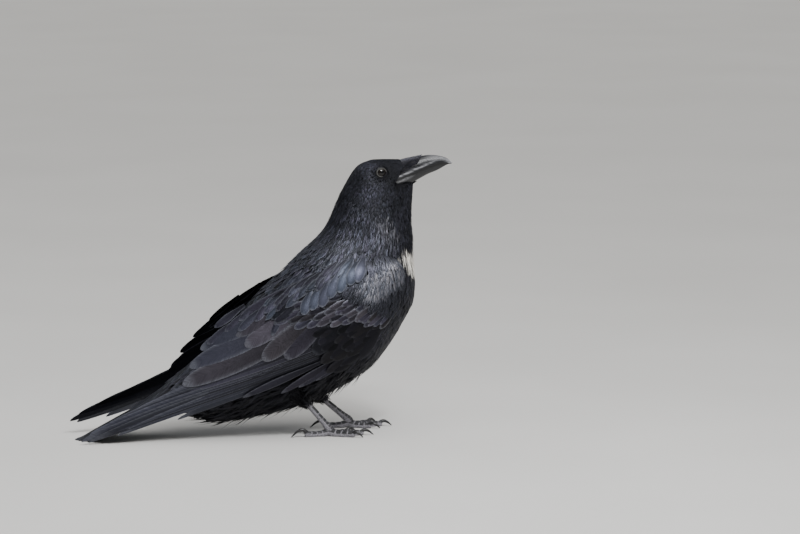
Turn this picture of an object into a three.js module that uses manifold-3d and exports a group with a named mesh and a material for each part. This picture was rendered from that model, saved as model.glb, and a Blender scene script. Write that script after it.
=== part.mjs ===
/**
 * A common raven standing still, life size, as one set of closed solids.
 *
 * Units are millimetres. +X runs towards the bill, +Y to the bird's left and +Z up.
 * The floor is z = 0, and the origin lies on it, below the middle of the bird's box.
 *
 * The body from the bill's base to the tail coverts is one loft between a line over
 * the back and a line under the throat and belly, parted into head, neck, trunk and
 * rump. The folded wings are layers of one bulged surface beside it, the tail is a
 * thin roof of twelve feathers, and the legs and bill are lofts of their own.
 */
import * as THREE from 'three';
import Module from 'manifold-3d';

const wasm = await Module();
wasm.setup();

// ---------------------------------------------------------------- driving dimensions

const CLEARANCE = 0.35; // left between pieces that touch
const BODY_SIDES = 22; // facets round the body
const PARTING = 0.035; // gap between body pieces, in stations of the loft
const EYE_RADIUS = 7.4;
const EYE_PLACE = [136.5, 19.4, 321.6]; // left eye's centre
const TAIL_ROOT = [-18, 112]; // where the tail feathers meet, x and z
const TAIL_LENGTH = 246;
const TAIL_SLOPE = 28; // degrees below level, laid so that its tip meets the floor
const TAIL_FEATHERS = 12;
const TAIL_ROWS = [0, 0.35, 0.7, 0.95, 1]; // shares of each feather's length
const TAIL_START = 118; // where the feathers come out from under the coverts
const TAIL_HALVES = [26, 37]; // half the tail's width there and near its tip
const TAIL_DROOP = 7; // how far its outer feathers lie below the middle pair
const TAIL_WEDGE = 34; // how much shorter the outer feathers are
const TAIL_THICKNESS = [1.9, 0.7]; // half its depth where it starts and at its tip
const TAIL_TIP_DEPTH = 1.1; // the least depth where it lies on the floor
const WRIST = [153, 188]; // bend of the folded wing, x and z
const WING_SLOPE = 31; // degrees that the folded wing runs below level
const FAR_WING_LIFT = 1.8; // degrees that the left wing is held higher
const TOE_RADIUS = 4.3;
const TARSUS_RADIUS = 4.2;
const KNUCKLE_RADIUS = 6.6;
const THIGH_RADII = [19, 14, 7.5]; // in the belly, at the ankle and at the feathers' end

/** Stations of the body: top and bottom lines as [x, z], half width, and egg, which
 *  is how much wider the section is above its middle than below. */
const STATIONS = [
  { place: 'bill base', top: [165, 333.5], bottom: [179.5, 306], half: 13, egg: 0.1 },
  { place: 'brow', top: [140, 333.8], bottom: [178.5, 288], half: 22, egg: 0.3 },
  { place: 'eyes', top: [126, 332.4], bottom: [177.5, 275.5], half: 26, egg: 0.34 },
  { place: 'back of the head', top: [109, 323], bottom: [177, 259], half: 29.5, egg: 0.2 },
  { place: 'upper neck', top: [90.5, 292], bottom: [178, 238], half: 35, egg: 0.04 },
  { place: 'neck base', top: [70.5, 250], bottom: [178.5, 214.5], half: 42, egg: 0 },
  { place: 'shoulders', top: [37, 217.5], bottom: [181, 176], half: 54, egg: 0.02 },
  { place: 'breast', top: [19, 200], bottom: [172, 145.5], half: 58, egg: 0.02 },
  { place: 'belly', top: [-11, 173], bottom: [127.5, 82.5], half: 57, egg: 0.04 },
  { place: 'vent', top: [-35, 146], bottom: [50, 40], half: 49, egg: 0.1 },
  { place: 'rump', top: [-57, 121], bottom: [-12, 26], half: 40, egg: 0.18 },
  { place: 'tail coverts', top: [-92, 90], bottom: [-72, 21], half: 34, egg: 0.25 },
  { place: 'covert ends', top: [-128, 60.5], bottom: [-134, 49], half: 29, egg: 0.3 },
];

/** Stations of the folded wing. along runs back from the wrist and low and high are
 *  its edges across that line; edge, crest and back are its distances from the
 *  bird's middle plane at the low edge, between them, and at the high edge. */
const WING_STATIONS = [
  { along: -16, low: 20, high: 25, edge: 33, crest: 34, back: 33 },
  { along: 0, low: -8, high: 45, edge: 40, crest: 47, back: 37 },
  { along: 25, low: -28, high: 55, edge: 46, crest: 56, back: 42 },
  { along: 62, low: -47, high: 65, edge: 50, crest: 61, back: 44 },
  { along: 123, low: -48, high: 70, edge: 50, crest: 61, back: 34 },
  { along: 185, low: -34, high: 75, edge: 48, crest: 57, back: 15 },
  { along: 247, low: -14, high: 63, edge: 44, crest: 50, back: 13 },
  { along: 308, low: 6, high: 46, edge: 42, crest: 44, back: 26 },
  { along: 370, low: 24, high: 44, edge: 41, crest: 42, back: 35 },
  { along: 426, low: 39, high: 45, edge: 39, crest: 39, back: 38 },
];
const WING_CREST_SHARE = 0.45; // where the crest lies between the two edges

/** Bill lines as [x, z] from the face to the tip, with half widths beside them. */
const CULMEN = [
  [150, 327], [167, 332.5], [184, 336], [200, 338.3], [214, 336.8], [223, 333.4], [228.6, 327.9],
];
const MOUTH = [
  [148, 309.5], [163, 313], [178, 317.8], [193, 323.2], [208, 327.8], [219, 329], [227.2, 327],
];
const KEEL = [
  [148, 305.5], [161, 303.6], [173, 304], [185, 309.2], [198, 314.8], [211, 320], [223.4, 327.1],
];
const BILL_HALF_WIDTHS = [14.2, 13.6, 11.8, 9.4, 6.8, 4, 0.8];
const KEEL_NARROWING = 0.93; // the lower half of the bill beside the upper

/** Bristles over the root of the bill: how thick they lie, and their side outline. */
const BRISTLE_DEPTH = 2.2;
const BRISTLE_OUTLINE = [[156, 345], [156, 319], [170, 323], [191, 333.5], [187, 345]];

/** Feet: side is +1 for the left; the ankle is hidden in the belly feathers. */
const FEET = [
  { name: 'right', side: -1, ankle: [25, -25, 65], hub: [71, -28, 10], shown: 0.46 },
  { name: 'left', side: 1, ankle: [50, 25, 56], hub: [104, 28, 10], shown: 0.42 },
];

/** Toes: turn from straight ahead (positive is outwards), length and claw length. */
const TOES = [
  { number: 1, turn: 176, length: 27, claw: 20 },
  { number: 2, turn: -24, length: 27, claw: 14 },
  { number: 3, turn: 2, length: 40, claw: 15 },
  { number: 4, turn: 27, length: 31, claw: 13 },
];

const rad = THREE.MathUtils.degToRad;
const mix = THREE.MathUtils.lerp;
const clamp = THREE.MathUtils.clamp;

// ---------------------------------------------------------------- building solids

/** A smooth curve through number rows, read at t from 0 to the last row. */
function track(rows) {
  const points = rows.map((r) => new THREE.Vector3(...r));
  const curve = new THREE.CatmullRomCurve3(points, false, 'catmullrom', 0.5);
  return (t) => curve.getPoint(clamp(t / (rows.length - 1), 0, 1));
}

/** Evenly spaced values from a to b. */
function steps(a, b, count) {
  return Array.from({ length: count + 1 }, (_, i) => mix(a, b, i / count));
}

/** A manifold solid from points and triangles, turned outwards. */
function solid(points, triangles) {
  let volume = 0;
  for (const [a, b, c] of triangles) {
    volume += points[a].dot(new THREE.Vector3().crossVectors(points[b], points[c]));
  }
  const faces = volume < 0 ? triangles.map(([a, b, c]) => [a, c, b]) : triangles;
  return new wasm.Manifold(new wasm.Mesh({
    numProp: 3,
    vertProperties: Float32Array.from(points.flatMap((p) => [p.x, p.y, p.z])),
    triVerts: Uint32Array.from(faces.flat()),
  }));
}

/** A closed solid through rings of points, with a fan over each end. */
function loft(rings) {
  const count = rings[0].length;
  const points = rings.flat();
  const triangles = [];
  for (let r = 0; r + 1 < rings.length; r += 1) {
    for (let k = 0; k < count; k += 1) {
      const a = r * count + k;
      const b = r * count + ((k + 1) % count);
      triangles.push([a, b, b + count], [a, b + count, a + count]);
    }
  }
  for (const [start, order] of [[0, 1], [points.length - count, -1]]) {
    const middle = new THREE.Vector3();
    for (let k = 0; k < count; k += 1) {
      middle.addScaledVector(points[start + k], 1 / count);
    }
    points.push(middle);
    const hub = points.length - 1;
    for (let k = 0; k < count; k += 1) {
      const pair = [start + k, start + ((k + 1) % count)];
      triangles.push(order > 0 ? [hub, pair[1], pair[0]] : [hub, pair[0], pair[1]]);
    }
  }
  return solid(points, triangles);
}

/** A thin closed plate between an upper and a lower grid of points. */
function plate(upper, lower) {
  const rows = upper.length;
  const columns = upper[0].length;
  const points = [...upper.flat(), ...lower.flat()];
  const under = rows * columns;
  const at = (i, j) => i * columns + j;
  const triangles = [];
  for (let i = 0; i + 1 < rows; i += 1) {
    for (let j = 0; j + 1 < columns; j += 1) {
      const [a, b, c, d] = [at(i, j), at(i + 1, j), at(i + 1, j + 1), at(i, j + 1)];
      triangles.push([a, b, c], [a, c, d]);
      triangles.push([under + a, under + c, under + b], [under + a, under + d, under + c]);
    }
  }
  const rim = [];
  for (let i = 0; i + 1 < rows; i += 1) rim.push(at(i, 0));
  for (let j = 0; j + 1 < columns; j += 1) rim.push(at(rows - 1, j));
  for (let i = rows - 1; i > 0; i -= 1) rim.push(at(i, columns - 1));
  for (let j = columns - 1; j > 0; j -= 1) rim.push(at(0, j));
  rim.forEach((a, k) => {
    const b = rim[(k + 1) % rim.length];
    triangles.push([a, under + b, b], [a, under + a, under + b]);
  });
  return solid(points, triangles);
}

/** The largest connected piece of a solid. */
function largest(shape) {
  return shape.decompose().reduce((best, piece) => (piece.volume() > best.volume() ? piece : best));
}

/** A ball as a solid. */
function ball(radius, place, sides = 12) {
  const rings = steps(0.02, Math.PI - 0.02, sides / 2).map((down) => steps(0, 2 * Math.PI, sides)
    .slice(0, sides)
    .map((turn) => new THREE.Vector3(
      place[0] + radius * Math.sin(down) * Math.cos(turn),
      place[1] + radius * Math.sin(down) * Math.sin(turn),
      place[2] + radius * Math.cos(down),
    )));
  return loft(rings);
}

/** A flat-sided block over an outline [x, z], half deep on each side of the middle. */
function block(outline, half) {
  return loft([-half, half].map((y) => outline.map(([x, z]) => new THREE.Vector3(x, y, z))));
}

/** A round limb through points [x, y, z, radius], kept above the floor. */
function limb(rows, sides, ringCount) {
  const path = track(rows.map((r) => r.slice(0, 3)));
  const size = track(rows.map((r) => [r[3], 0, 0]));
  const last = rows.length - 1;
  const rings = steps(0, last, ringCount).map((t) => {
    const step = 0.01;
    const ahead = path(Math.min(t + step, last)).sub(path(Math.max(t - step, 0))).normalize();
    const across = new THREE.Vector3(0, 0, 1).cross(ahead).normalize();
    const above = ahead.clone().cross(across);
    const centre = path(t);
    return steps(0, 2 * Math.PI, sides).slice(0, sides).map((turn) => {
      const point = centre.clone();
      point.addScaledVector(across, size(t).x * Math.sin(turn));
      point.addScaledVector(above, size(t).x * Math.cos(turn));
      point.z = Math.max(point.z, 0);
      return point;
    });
  });
  return loft(rings);
}

// ---------------------------------------------------------------- body

const topLine = track(STATIONS.map((s) => [s.top[0], 0, s.top[1]]));
const bottomLine = track(STATIONS.map((s) => [s.bottom[0], 0, s.bottom[1]]));
const bodyWidth = track(STATIONS.map((s) => [s.half, s.egg, 0]));
const stationOf = (place) => STATIONS.findIndex((s) => s.place === place);

/** The ring of the body at station t: middle + cos(a) up the section, and across it
 *  half * sin(a) * (1 + egg * cos(a)), grown outwards by grow. */
function bodyRing(t, grow) {
  const top = topLine(t);
  const bottom = bottomLine(t);
  const middle = top.clone().add(bottom).multiplyScalar(0.5);
  const rise = top.sub(bottom).multiplyScalar(0.5);
  const reach = (rise.length() + grow) / rise.length();
  const size = bodyWidth(t);
  return steps(0, 2 * Math.PI, BODY_SIDES).slice(0, BODY_SIDES).map((a) => {
    const point = middle.clone().addScaledVector(rise, Math.cos(a) * reach);
    point.y = (size.x + grow) * Math.sin(a) * (1 + size.y * Math.cos(a));
    return point;
  });
}

/** A length of the body between two stations. */
function bodyLength(from, to, grow = 0) {
  const count = Math.max(2, Math.round((to - from) * 2));
  return loft(steps(from, to, count).map((t) => bodyRing(t, grow)));
}

// ---------------------------------------------------------------- bill and eyes

const culmen = track(CULMEN.map(([x, z], i) => [x, BILL_HALF_WIDTHS[i], z]));
const mouth = track(MOUTH.map(([x, z], i) => [x, BILL_HALF_WIDTHS[i], z]));
const keel = track(KEEL.map(([x, z], i) => [x, BILL_HALF_WIDTHS[i] * KEEL_NARROWING, z]));

/** One half of the bill, arched from the mouth line over its ridge line. */
function mandible(ridge, grow, lower) {
  const last = CULMEN.length - 1;
  const lift = lower ? grow - CLEARANCE : -grow;
  const rings = steps(0, last, Math.round(last * 1.5)).map((t) => {
    const crown = ridge(t);
    const seam = mouth(t);
    const outwards = Math.sign(crown.z - seam.z || 1);
    const half = crown.y + grow;
    return steps(-Math.PI / 2, Math.PI / 2, 8).map((a) => {
      const share = Math.cos(a);
      const point = new THREE.Vector3(mix(seam.x, crown.x, share), 0, mix(seam.z, crown.z, share));
      point.y = half * Math.sign(a) * Math.abs(Math.sin(a)) ** 0.85;
      point.z += share > 0.01 ? outwards * grow : lift;
      point.x -= t === 0 ? grow : 0;
      return point;
    });
  });
  return loft(rings);
}

// ---------------------------------------------------------------- wings and tail

const wingTrack = track(WING_STATIONS.map((s) => [s.along, s.low, s.high]));
const wingBreadth = track(WING_STATIONS.map((s) => [s.edge, s.crest, s.back]));

/** The station parameter at a distance along the wing, found by halving. */
function wingParameter(along) {
  let [low, high] = [0, WING_STATIONS.length - 1];
  for (let k = 0; k < 24; k += 1) {
    const middle = (low + high) / 2;
    if (wingTrack(middle).x < along) low = middle;
    else high = middle;
  }
  return (low + high) / 2;
}

/** A point of the left folded wing. share runs from its low edge (0) to its high
 *  edge (1), and the breadth is the parabola through edge, crest and back. */
function wingPoint(along, share, slope) {
  const t = wingParameter(along);
  const span = wingTrack(t);
  const breadth = wingBreadth(t);
  const c = WING_CREST_SHARE;
  const y = breadth.x * ((share - c) * (share - 1)) / c
    + breadth.y * (share * (share - 1)) / (c * (c - 1))
    + breadth.z * (share * (share - c)) / (1 - c);
  const across = mix(span.y, span.z, share);
  const [cos, sin] = [Math.cos(rad(slope)), Math.sin(rad(slope))];
  return new THREE.Vector3(
    WRIST[0] - along * cos - across * sin,
    y,
    WRIST[1] - along * sin + across * cos,
  );
}

/** The outward normal of the wing surface there. */
function wingNormal(along, share, slope) {
  const step = 0.02;
  const forward = wingPoint(along + 1, share, slope).sub(wingPoint(along - 1, share, slope));
  const upward = wingPoint(along, share + step, slope).sub(wingPoint(along, share - step, slope));
  return forward.cross(upward).normalize();
}

/** How far a row of feathers ends short of its line at share h: each of count
 *  feathers has a rounded tip, depth long. */
function tipStep(h, count, depth) {
  const place = h * count - Math.floor(h * count);
  return depth * Math.abs(2 * Math.min(place, 1) - 1) ** 2.2;
}

/** A layer of wing feathers between two offsets from the wing surface, with grow
 *  added all round it. */
function wingLayer(layer, slope, grow = 0) {
  const columns = layer.feathers * 3;
  const grid = (depthAt, side) => steps(0, 1, columns).map((h) => {
    const start = layer.start(h) - grow;
    const end = layer.end(h) - tipStep(Math.min(h, 0.9999), layer.feathers, layer.notch) + grow;
    return steps(0, 1, layer.rows).map((f) => {
      const along = mix(start, end, f);
      const share = layer.share(h, along) + (h - 0.5) * grow * 0.05;
      const point = wingPoint(along, share, slope);
      return point.addScaledVector(wingNormal(along, share, slope), depthAt(along, f) + side * grow);
    });
  });
  return plate(grid(layer.outer, 1), grid(layer.inner, -1));
}

/** The three layers of a folded wing, from the skin outwards. */
const WING_LAYERS = {
  primaries: {
    feathers: 6,
    rows: 5,
    notch: 9,
    start: () => 84,
    end: (h) => mix(426, 315, Math.max(0, h - 0.15) / 0.85),
    share: (h, along) => mix(0.02, mix(0.5, 1, clamp((along - 90) / 190, 0, 1)), h),
    inner: () => 0,
    outer: (along, f) => mix(1.9, 1, f),
  },
  secondaries: {
    feathers: 5,
    rows: 4,
    notch: 9,
    start: () => 88,
    end: (h) => mix(246, 300, clamp(h / 0.55, 0, 1)) - 22 * clamp((h - 0.6) / 0.4, 0, 1),
    share: (h) => mix(0.2, 1, h),
    inner: (along, f) => mix(1.2, 0.6, f),
    outer: (along, f) => mix(4.2, 3, f),
  },
  coverts: {
    feathers: 5,
    rows: 4,
    notch: 8,
    start: () => -12,
    end: (h) => mix(168, 243, h ** 1.2),
    share: (h) => mix(0, 1, h),
    inner: (along) => mix(-14, 3, THREE.MathUtils.smoothstep(along, 50, 78)),
    outer: (along, f) => mix(8.2, 7, f) * Math.min(1, (along + 20) / 60),
  },
};

/** The tail: feathers side by side in a shallow roof, the middle pair longest. */
function tail() {
  const [cos, sin] = [Math.cos(rad(TAIL_SLOPE)), Math.sin(rad(TAIL_SLOPE))];
  const grid = (face) => steps(-1, 1, TAIL_FEATHERS * 2).map((g) => {
    const notch = tipStep((g + 0.9999) / 2, TAIL_FEATHERS, 6);
    const tip = TAIL_LENGTH - TAIL_WEDGE * Math.abs(g) ** 1.6 - notch;
    return TAIL_ROWS.map((row) => {
      const along = mix(TAIL_START, tip, row);
      const f = (along - TAIL_START) / (TAIL_LENGTH - TAIL_START);
      const half = mix(...TAIL_HALVES, Math.sin(f * 1.6));
      const lift = face * mix(...TAIL_THICKNESS, f);
      const z = TAIL_ROOT[1] - along * sin - TAIL_DROOP * g * g + lift;
      const least = face > 0 ? TAIL_TIP_DEPTH : 0;
      return new THREE.Vector3(TAIL_ROOT[0] - along * cos, g * half, Math.max(z, least));
    });
  });
  return plate(grid(1), grid(-1));
}

// ---------------------------------------------------------------- legs

/** The rows of a tarsus from a share of its length down to the hub, grown by grow. */
function shankRows(along, from, grow) {
  return [
    [...along(from), TARSUS_RADIUS + grow],
    [...along(0.75), TARSUS_RADIUS * 0.9 + grow],
    [...along(1), TARSUS_RADIUS * 1.15 + grow],
  ];
}

/** The rows of a toe from the hub outwards, resting on the floor, grown by grow. */
function toeRows(out, length, grow) {
  const r = TOE_RADIUS;
  return [
    [...out(2), r * 1.05, r + grow],
    [...out(length * 0.4), r * 0.68, r + grow],
    [...out(length * 0.75), r * 0.64, r * 0.95 + grow],
    [...out(length), r * 0.7, r * 0.74 + grow],
  ];
}

/** The rows of a claw, from inside the toe's tip, over an arch and down to its point. */
function clawRows(out, toe) {
  const r = TOE_RADIUS;
  const arch = toe.number === 1 ? 6 : 3.4;
  return [
    [...out(toe.length - 1.5), r * 0.8, r * 0.66],
    [...out(toe.length + toe.claw * 0.36), r * 0.8 + arch * 0.8, r * 0.52],
    [...out(toe.length + toe.claw * 0.74), r * 0.62 + arch * 0.3, r * 0.34],
    [...out(toe.length + toe.claw), 0.5, 0.35],
  ];
}

/** The pieces of one foot: feathered thigh, tarsus with knuckle, toes and claws. The
 *  middle toe is whole, and each later toe is cut by what is there before it. */
function legPieces(foot, bodyCut) {
  const ankle = new THREE.Vector3(...foot.ankle);
  const hub = new THREE.Vector3(...foot.hub);
  const along = (share) => ankle.clone().lerp(hub, share).toArray();
  const [inBelly, atAnkle, atHem] = THIGH_RADII;
  const pieces = {};
  pieces.thigh = limb([
    [...ankle.clone().add(new THREE.Vector3(6, 0, 14)).toArray(), inBelly],
    [...along(0.15), atAnkle],
    [...along(foot.shown), atHem],
  ], 12, 4).subtract(bodyCut);
  pieces.tarsus = limb(shankRows(along, foot.shown + 0.012, 0), 10, 3)
    .add(ball(KNUCKLE_RADIUS, foot.hub, 8));
  let taken = limb(shankRows(along, 0.5, CLEARANCE), 10, 3)
    .add(ball(KNUCKLE_RADIUS + CLEARANCE, foot.hub, 8));
  for (const number of [3, 1, 2, 4]) {
    const toe = TOES.find((one) => one.number === number);
    const heading = rad(toe.turn * foot.side);
    const out = (distance) => [
      foot.hub[0] + distance * Math.cos(heading),
      foot.hub[1] + distance * Math.sin(heading),
    ];
    const room = limb(toeRows(out, toe.length, CLEARANCE), 8, 3);
    pieces[`toe_${number}`] = limb(toeRows(out, toe.length, 0), 8, 3).subtract(taken);
    pieces[`claw_${number}`] = limb(clawRows(out, toe), 6, 4).subtract(room);
    taken = taken.add(room);
  }
  return pieces;
}

// ---------------------------------------------------------------- materials and scene

const MATERIALS = {
  plumage: { color: 0x14151c, roughness: 0.45, metalness: 0 },
  wing: { color: 0x1d2029, roughness: 0.4, metalness: 0 },
  bill: { color: 0x26282c, roughness: 0.3, metalness: 0 },
  eye: { color: 0x0c0a08, roughness: 0.05, metalness: 0 },
  scales: { color: 0x55555c, roughness: 0.55, metalness: 0 },
  claw: { color: 0x131316, roughness: 0.3, metalness: 0 },
};

const raven = new THREE.Group();

/** Adds a solid's main piece to the bird as a named mesh with its own material. */
function put(name, shape, material) {
  const { vertProperties, triVerts, numProp } = largest(shape).getMesh();
  const geometry = new THREE.BufferGeometry();
  const corners = new Float32Array((vertProperties.length / numProp) * 3);
  for (let i = 0; i < corners.length / 3; i += 1) {
    corners.set(vertProperties.subarray(i * numProp, i * numProp + 3), i * 3);
  }
  geometry.setAttribute('position', new THREE.BufferAttribute(corners, 3));
  geometry.setIndex(new THREE.BufferAttribute(Uint32Array.from(triVerts), 1));
  geometry.computeVertexNormals();
  const mesh = new THREE.Mesh(geometry, new THREE.MeshStandardMaterial(MATERIALS[material]));
  mesh.name = name;
  raven.add(mesh);
}

/** Where the body is parted: each piece runs between two stations of the loft. */
const CUTS = [0, stationOf('back of the head') + 0.6, stationOf('neck base') + 0.4,
  stationOf('vent') + 0.7, STATIONS.length - 1];
const BODY_PIECES = ['head', 'neck', 'trunk', 'rump'].map((name, i) => ({
  name,
  from: CUTS[i] + (i > 0 ? PARTING : 0),
  to: CUTS[i + 1],
}));

/** The body with clearance round it and its partings filled, to cut neighbours by. */
const bodyCut = BODY_PIECES.map(({ from, to }) => bodyLength(from, to, CLEARANCE))
  .concat(CUTS.slice(1, -1).map((t) => bodyLength(t - 0.1, t + 0.1 + PARTING, CLEARANCE)))
  .reduce((whole, piece) => whole.add(piece));

// Head, with room for the bill and the eyes
const upperCut = mandible(culmen, CLEARANCE, false);
const lowerCut = mandible(keel, CLEARANCE, true);
const [HEAD, ...REST] = BODY_PIECES;
let head = bodyLength(HEAD.from, HEAD.to).subtract(upperCut).subtract(lowerCut);
for (const side of [-1, 1]) {
  const [x, y, z] = EYE_PLACE;
  const place = [x, side * y, z];
  head = head.subtract(ball(EYE_RADIUS + CLEARANCE, place));
  put(side < 0 ? 'eye_right' : 'eye_left', ball(EYE_RADIUS, place), 'eye');
}
put('head', head, 'plumage');
for (const { name, from, to } of REST) {
  put(name, bodyLength(from, to), 'plumage');
}

// Bill, and the bristles that lie over the root of its ridge
put('bill_upper', mandible(culmen, 0, false), 'bill');
put('bill_lower', mandible(keel, 0, true), 'bill');
const bristles = mandible(culmen, BRISTLE_DEPTH, false).intersect(block(BRISTLE_OUTLINE, 20));
put('nasal_bristles', bristles.subtract(upperCut).subtract(bodyCut), 'plumage');

for (const side of [-1, 1]) {
  const name = side < 0 ? 'right' : 'left';
  const slope = WING_SLOPE - (side > 0 ? FAR_WING_LIFT : 0);
  let beneath = bodyCut;
  for (const [layerName, layer] of Object.entries(WING_LAYERS)) {
    const shape = wingLayer(layer, slope).scale([1, side, 1]);
    put(`wing_${name}_${layerName}`, shape.subtract(beneath), 'wing');
    beneath = beneath.add(wingLayer(layer, slope, CLEARANCE).scale([1, side, 1]));
  }
}
put('tail', tail().subtract(bodyCut), 'wing');

for (const foot of FEET) {
  for (const [piece, shape] of Object.entries(legPieces(foot, bodyCut))) {
    const [kind, number] = piece.split('_');
    const name = number ? `${kind}_${foot.name}_${number}` : `${kind}_${foot.name}`;
    const material = { thigh: 'plumage', claw: 'claw' }[kind] ?? 'scales';
    put(name, shape, material);
  }
}

// The origin is on the floor below the middle of the bird's box
const box = new THREE.Box3().setFromObject(raven);
raven.position.x = -(box.min.x + box.max.x) / 2;

export default raven;
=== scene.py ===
# %% [markdown]
# # A common raven, life size, dressed feather by feather
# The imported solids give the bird's true size and outline. This script loads them as a
# fixed frame and lays the real surfaces over them: one skin, a coat of closed vanes,
# bill, eyes and scaly feet. A painted image could fake the plumage from one side only.
# Vanes of real thickness were chosen because light then breaks along every feather edge.

# %% The frame and the tools
import math

import bpy
import numpy as np
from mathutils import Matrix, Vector


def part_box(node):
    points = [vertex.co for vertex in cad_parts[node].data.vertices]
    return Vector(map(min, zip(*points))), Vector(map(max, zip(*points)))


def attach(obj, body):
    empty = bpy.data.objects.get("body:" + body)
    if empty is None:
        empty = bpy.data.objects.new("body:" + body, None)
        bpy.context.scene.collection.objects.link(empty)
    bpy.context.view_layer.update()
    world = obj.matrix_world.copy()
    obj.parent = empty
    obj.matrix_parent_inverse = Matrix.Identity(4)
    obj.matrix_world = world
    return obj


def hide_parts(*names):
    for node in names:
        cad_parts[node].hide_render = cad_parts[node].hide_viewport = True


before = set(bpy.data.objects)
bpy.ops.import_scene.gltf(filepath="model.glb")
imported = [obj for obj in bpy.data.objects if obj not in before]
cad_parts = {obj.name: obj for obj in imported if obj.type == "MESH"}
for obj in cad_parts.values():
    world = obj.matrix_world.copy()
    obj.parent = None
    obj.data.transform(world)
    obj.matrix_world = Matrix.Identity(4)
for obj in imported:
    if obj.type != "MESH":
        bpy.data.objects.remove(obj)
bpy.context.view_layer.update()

MM = 0.001
EYE_LOW, EYE_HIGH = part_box("eye_left")
SHIFT = (EYE_LOW.x + EYE_HIGH.x) / 2 - 136.5 * MM  # the frame's origin lies below the box's middle
chance = np.random.default_rng(7)
print("frame:", len(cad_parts), "nodes, shifted", round(SHIFT / MM, 2), "mm along x")

# %% [markdown]
# ## The camera
# It looks at the bird's right side, a little from behind and a little from above, with a
# long lens, so that the bird isn't widened by perspective. It comes first because every
# later choice is judged through it.

# %% Camera
# The camera stands DISTANCE from AIM, in the direction (sin az cos el, -cos az cos el,
# sin el), and looks back along it.
AIM = Vector((0.1685, 0.0, 0.2014))
AZIMUTH, ELEVATION, DISTANCE = math.radians(-10), math.radians(8), 5.42
LENS = 200


def set_up(name, data, place, facing):
    """Puts a camera or a lamp at a place, turned to face along a direction."""
    made = bpy.data.objects.new(name, data)
    bpy.context.collection.objects.link(made)
    made.location = place
    made.rotation_euler = facing.to_track_quat("-Z", "Y").to_euler()
    return made


back = Vector((math.sin(AZIMUTH) * math.cos(ELEVATION),
               -math.cos(AZIMUTH) * math.cos(ELEVATION), math.sin(ELEVATION)))
lens = bpy.data.cameras.new("camera")
lens.lens = LENS
camera = set_up("camera", lens, AIM + back * DISTANCE, -back)
bpy.context.scene.camera = camera
print("camera at", [round(v, 3) for v in camera.location])

# %% [markdown]
# ## Lines and surfaces
# Everything on the bird hangs on a few smooth lines. The body is a loft between a line
# over the back and a line under the throat and belly, and a folded wing is one bulged
# surface beside it. Working them out as functions of two numbers means that a feather
# can be laid anywhere by naming a place on the surface, a heading and a length.

# %% Smooth lines
def track(rows):
    """A smooth line through rows of numbers, where t counts the rows. Between two rows
    it is the cubic that passes each with half the step between that row's neighbours."""
    rows = np.asarray(rows, float)
    held = np.vstack([2 * rows[0] - rows[1], rows, 2 * rows[-1] - rows[-2]])

    def at(t):
        t = np.clip(np.asarray(t, float), 0, len(rows) - 1)
        i = np.minimum(t.astype(int), len(rows) - 2)
        f = (t - i)[..., None]
        a, b, c, d = (held[i + k] for k in range(4))
        return 0.5 * (2 * b + (c - a) * f + (2 * a - 5 * b + 4 * c - d) * f ** 2
                      + (3 * b - a - 3 * c + d) * f ** 3)

    return at


def ease(low, high, value):
    """0 below low, 1 above high, and an S-shaped rise between them."""
    f = np.clip((np.asarray(value, float) - low) / (high - low), 0, 1)
    return f * f * (3 - 2 * f)


def unit(vectors):
    """Vectors brought to length one."""
    return vectors / np.maximum(np.linalg.norm(vectors, axis=-1, keepdims=True), 1e-12)


def dot(a, b):
    """The dot product over the last axis, kept as a column."""
    return (a * b).sum(-1, keepdims=True)


def to_frame(points):
    """Points in the bird's own millimetres as points of the frame, in metres."""
    return points * MM + np.array([SHIFT, 0, 0])


def to_bird(points):
    """Points of the frame in the bird's own millimetres."""
    return (points - np.array([SHIFT, 0, 0])) / MM


# %% The body's surface
# Each station: top line x, z; bottom line x, z; half width; egg (wider above the middle)
BODY_STATIONS = [
    (165, 333.5, 179.5, 306, 13, 0.1),     # 0 bill base
    (140, 333.8, 178.5, 288, 22, 0.3),     # 1 brow
    (126, 332.4, 177.5, 275.5, 26, 0.34),  # 2 eyes
    (109, 323, 177, 259, 29.5, 0.2),       # 3 back of the head
    (90.5, 292, 178, 238, 35, 0.04),       # 4 upper neck
    (70.5, 250, 178.5, 214.5, 42, 0),      # 5 neck base
    (37, 217.5, 181, 176, 54, 0.02),       # 6 shoulders
    (19, 200, 172, 145.5, 58, 0.02),       # 7 breast
    (-11, 173, 127.5, 82.5, 57, 0.04),     # 8 belly
    (-35, 146, 50, 40, 49, 0.1),           # 9 vent
    (-57, 121, -12, 26, 40, 0.18),         # 10 rump
    (-92, 90, -72, 21, 34, 0.25),          # 11 tail coverts
    (-128, 60.5, -134, 49, 29, 0.3),       # 12 covert ends
]
BODY_END = len(BODY_STATIONS) - 1
body_line = track(BODY_STATIONS)


def body(t, a, out=0.0):
    """The body at station t and angle a (0 on the back, +90 degrees on the left side):
    the middle of the two lines plus cos(a) of half the step between them, and across it
    half width * sin(a) * (1 + egg * cos(a)). out grows it, in metres."""
    t, a = np.broadcast_arrays(np.asarray(t, float), np.asarray(a, float))
    row = body_line(t)
    top = row[..., 0:2] * MM
    bottom = row[..., 2:4] * MM
    rise = (top - bottom) / 2
    size = np.linalg.norm(rise, axis=-1)
    reach = (size + out) / size
    middle = (top + bottom) / 2 + rise * (np.cos(a) * reach)[..., None]
    y = (row[..., 4] * MM + out) * np.sin(a) * (1 + row[..., 5] * np.cos(a))
    return np.stack([middle[..., 0] + SHIFT, y, middle[..., 1]], -1)


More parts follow.
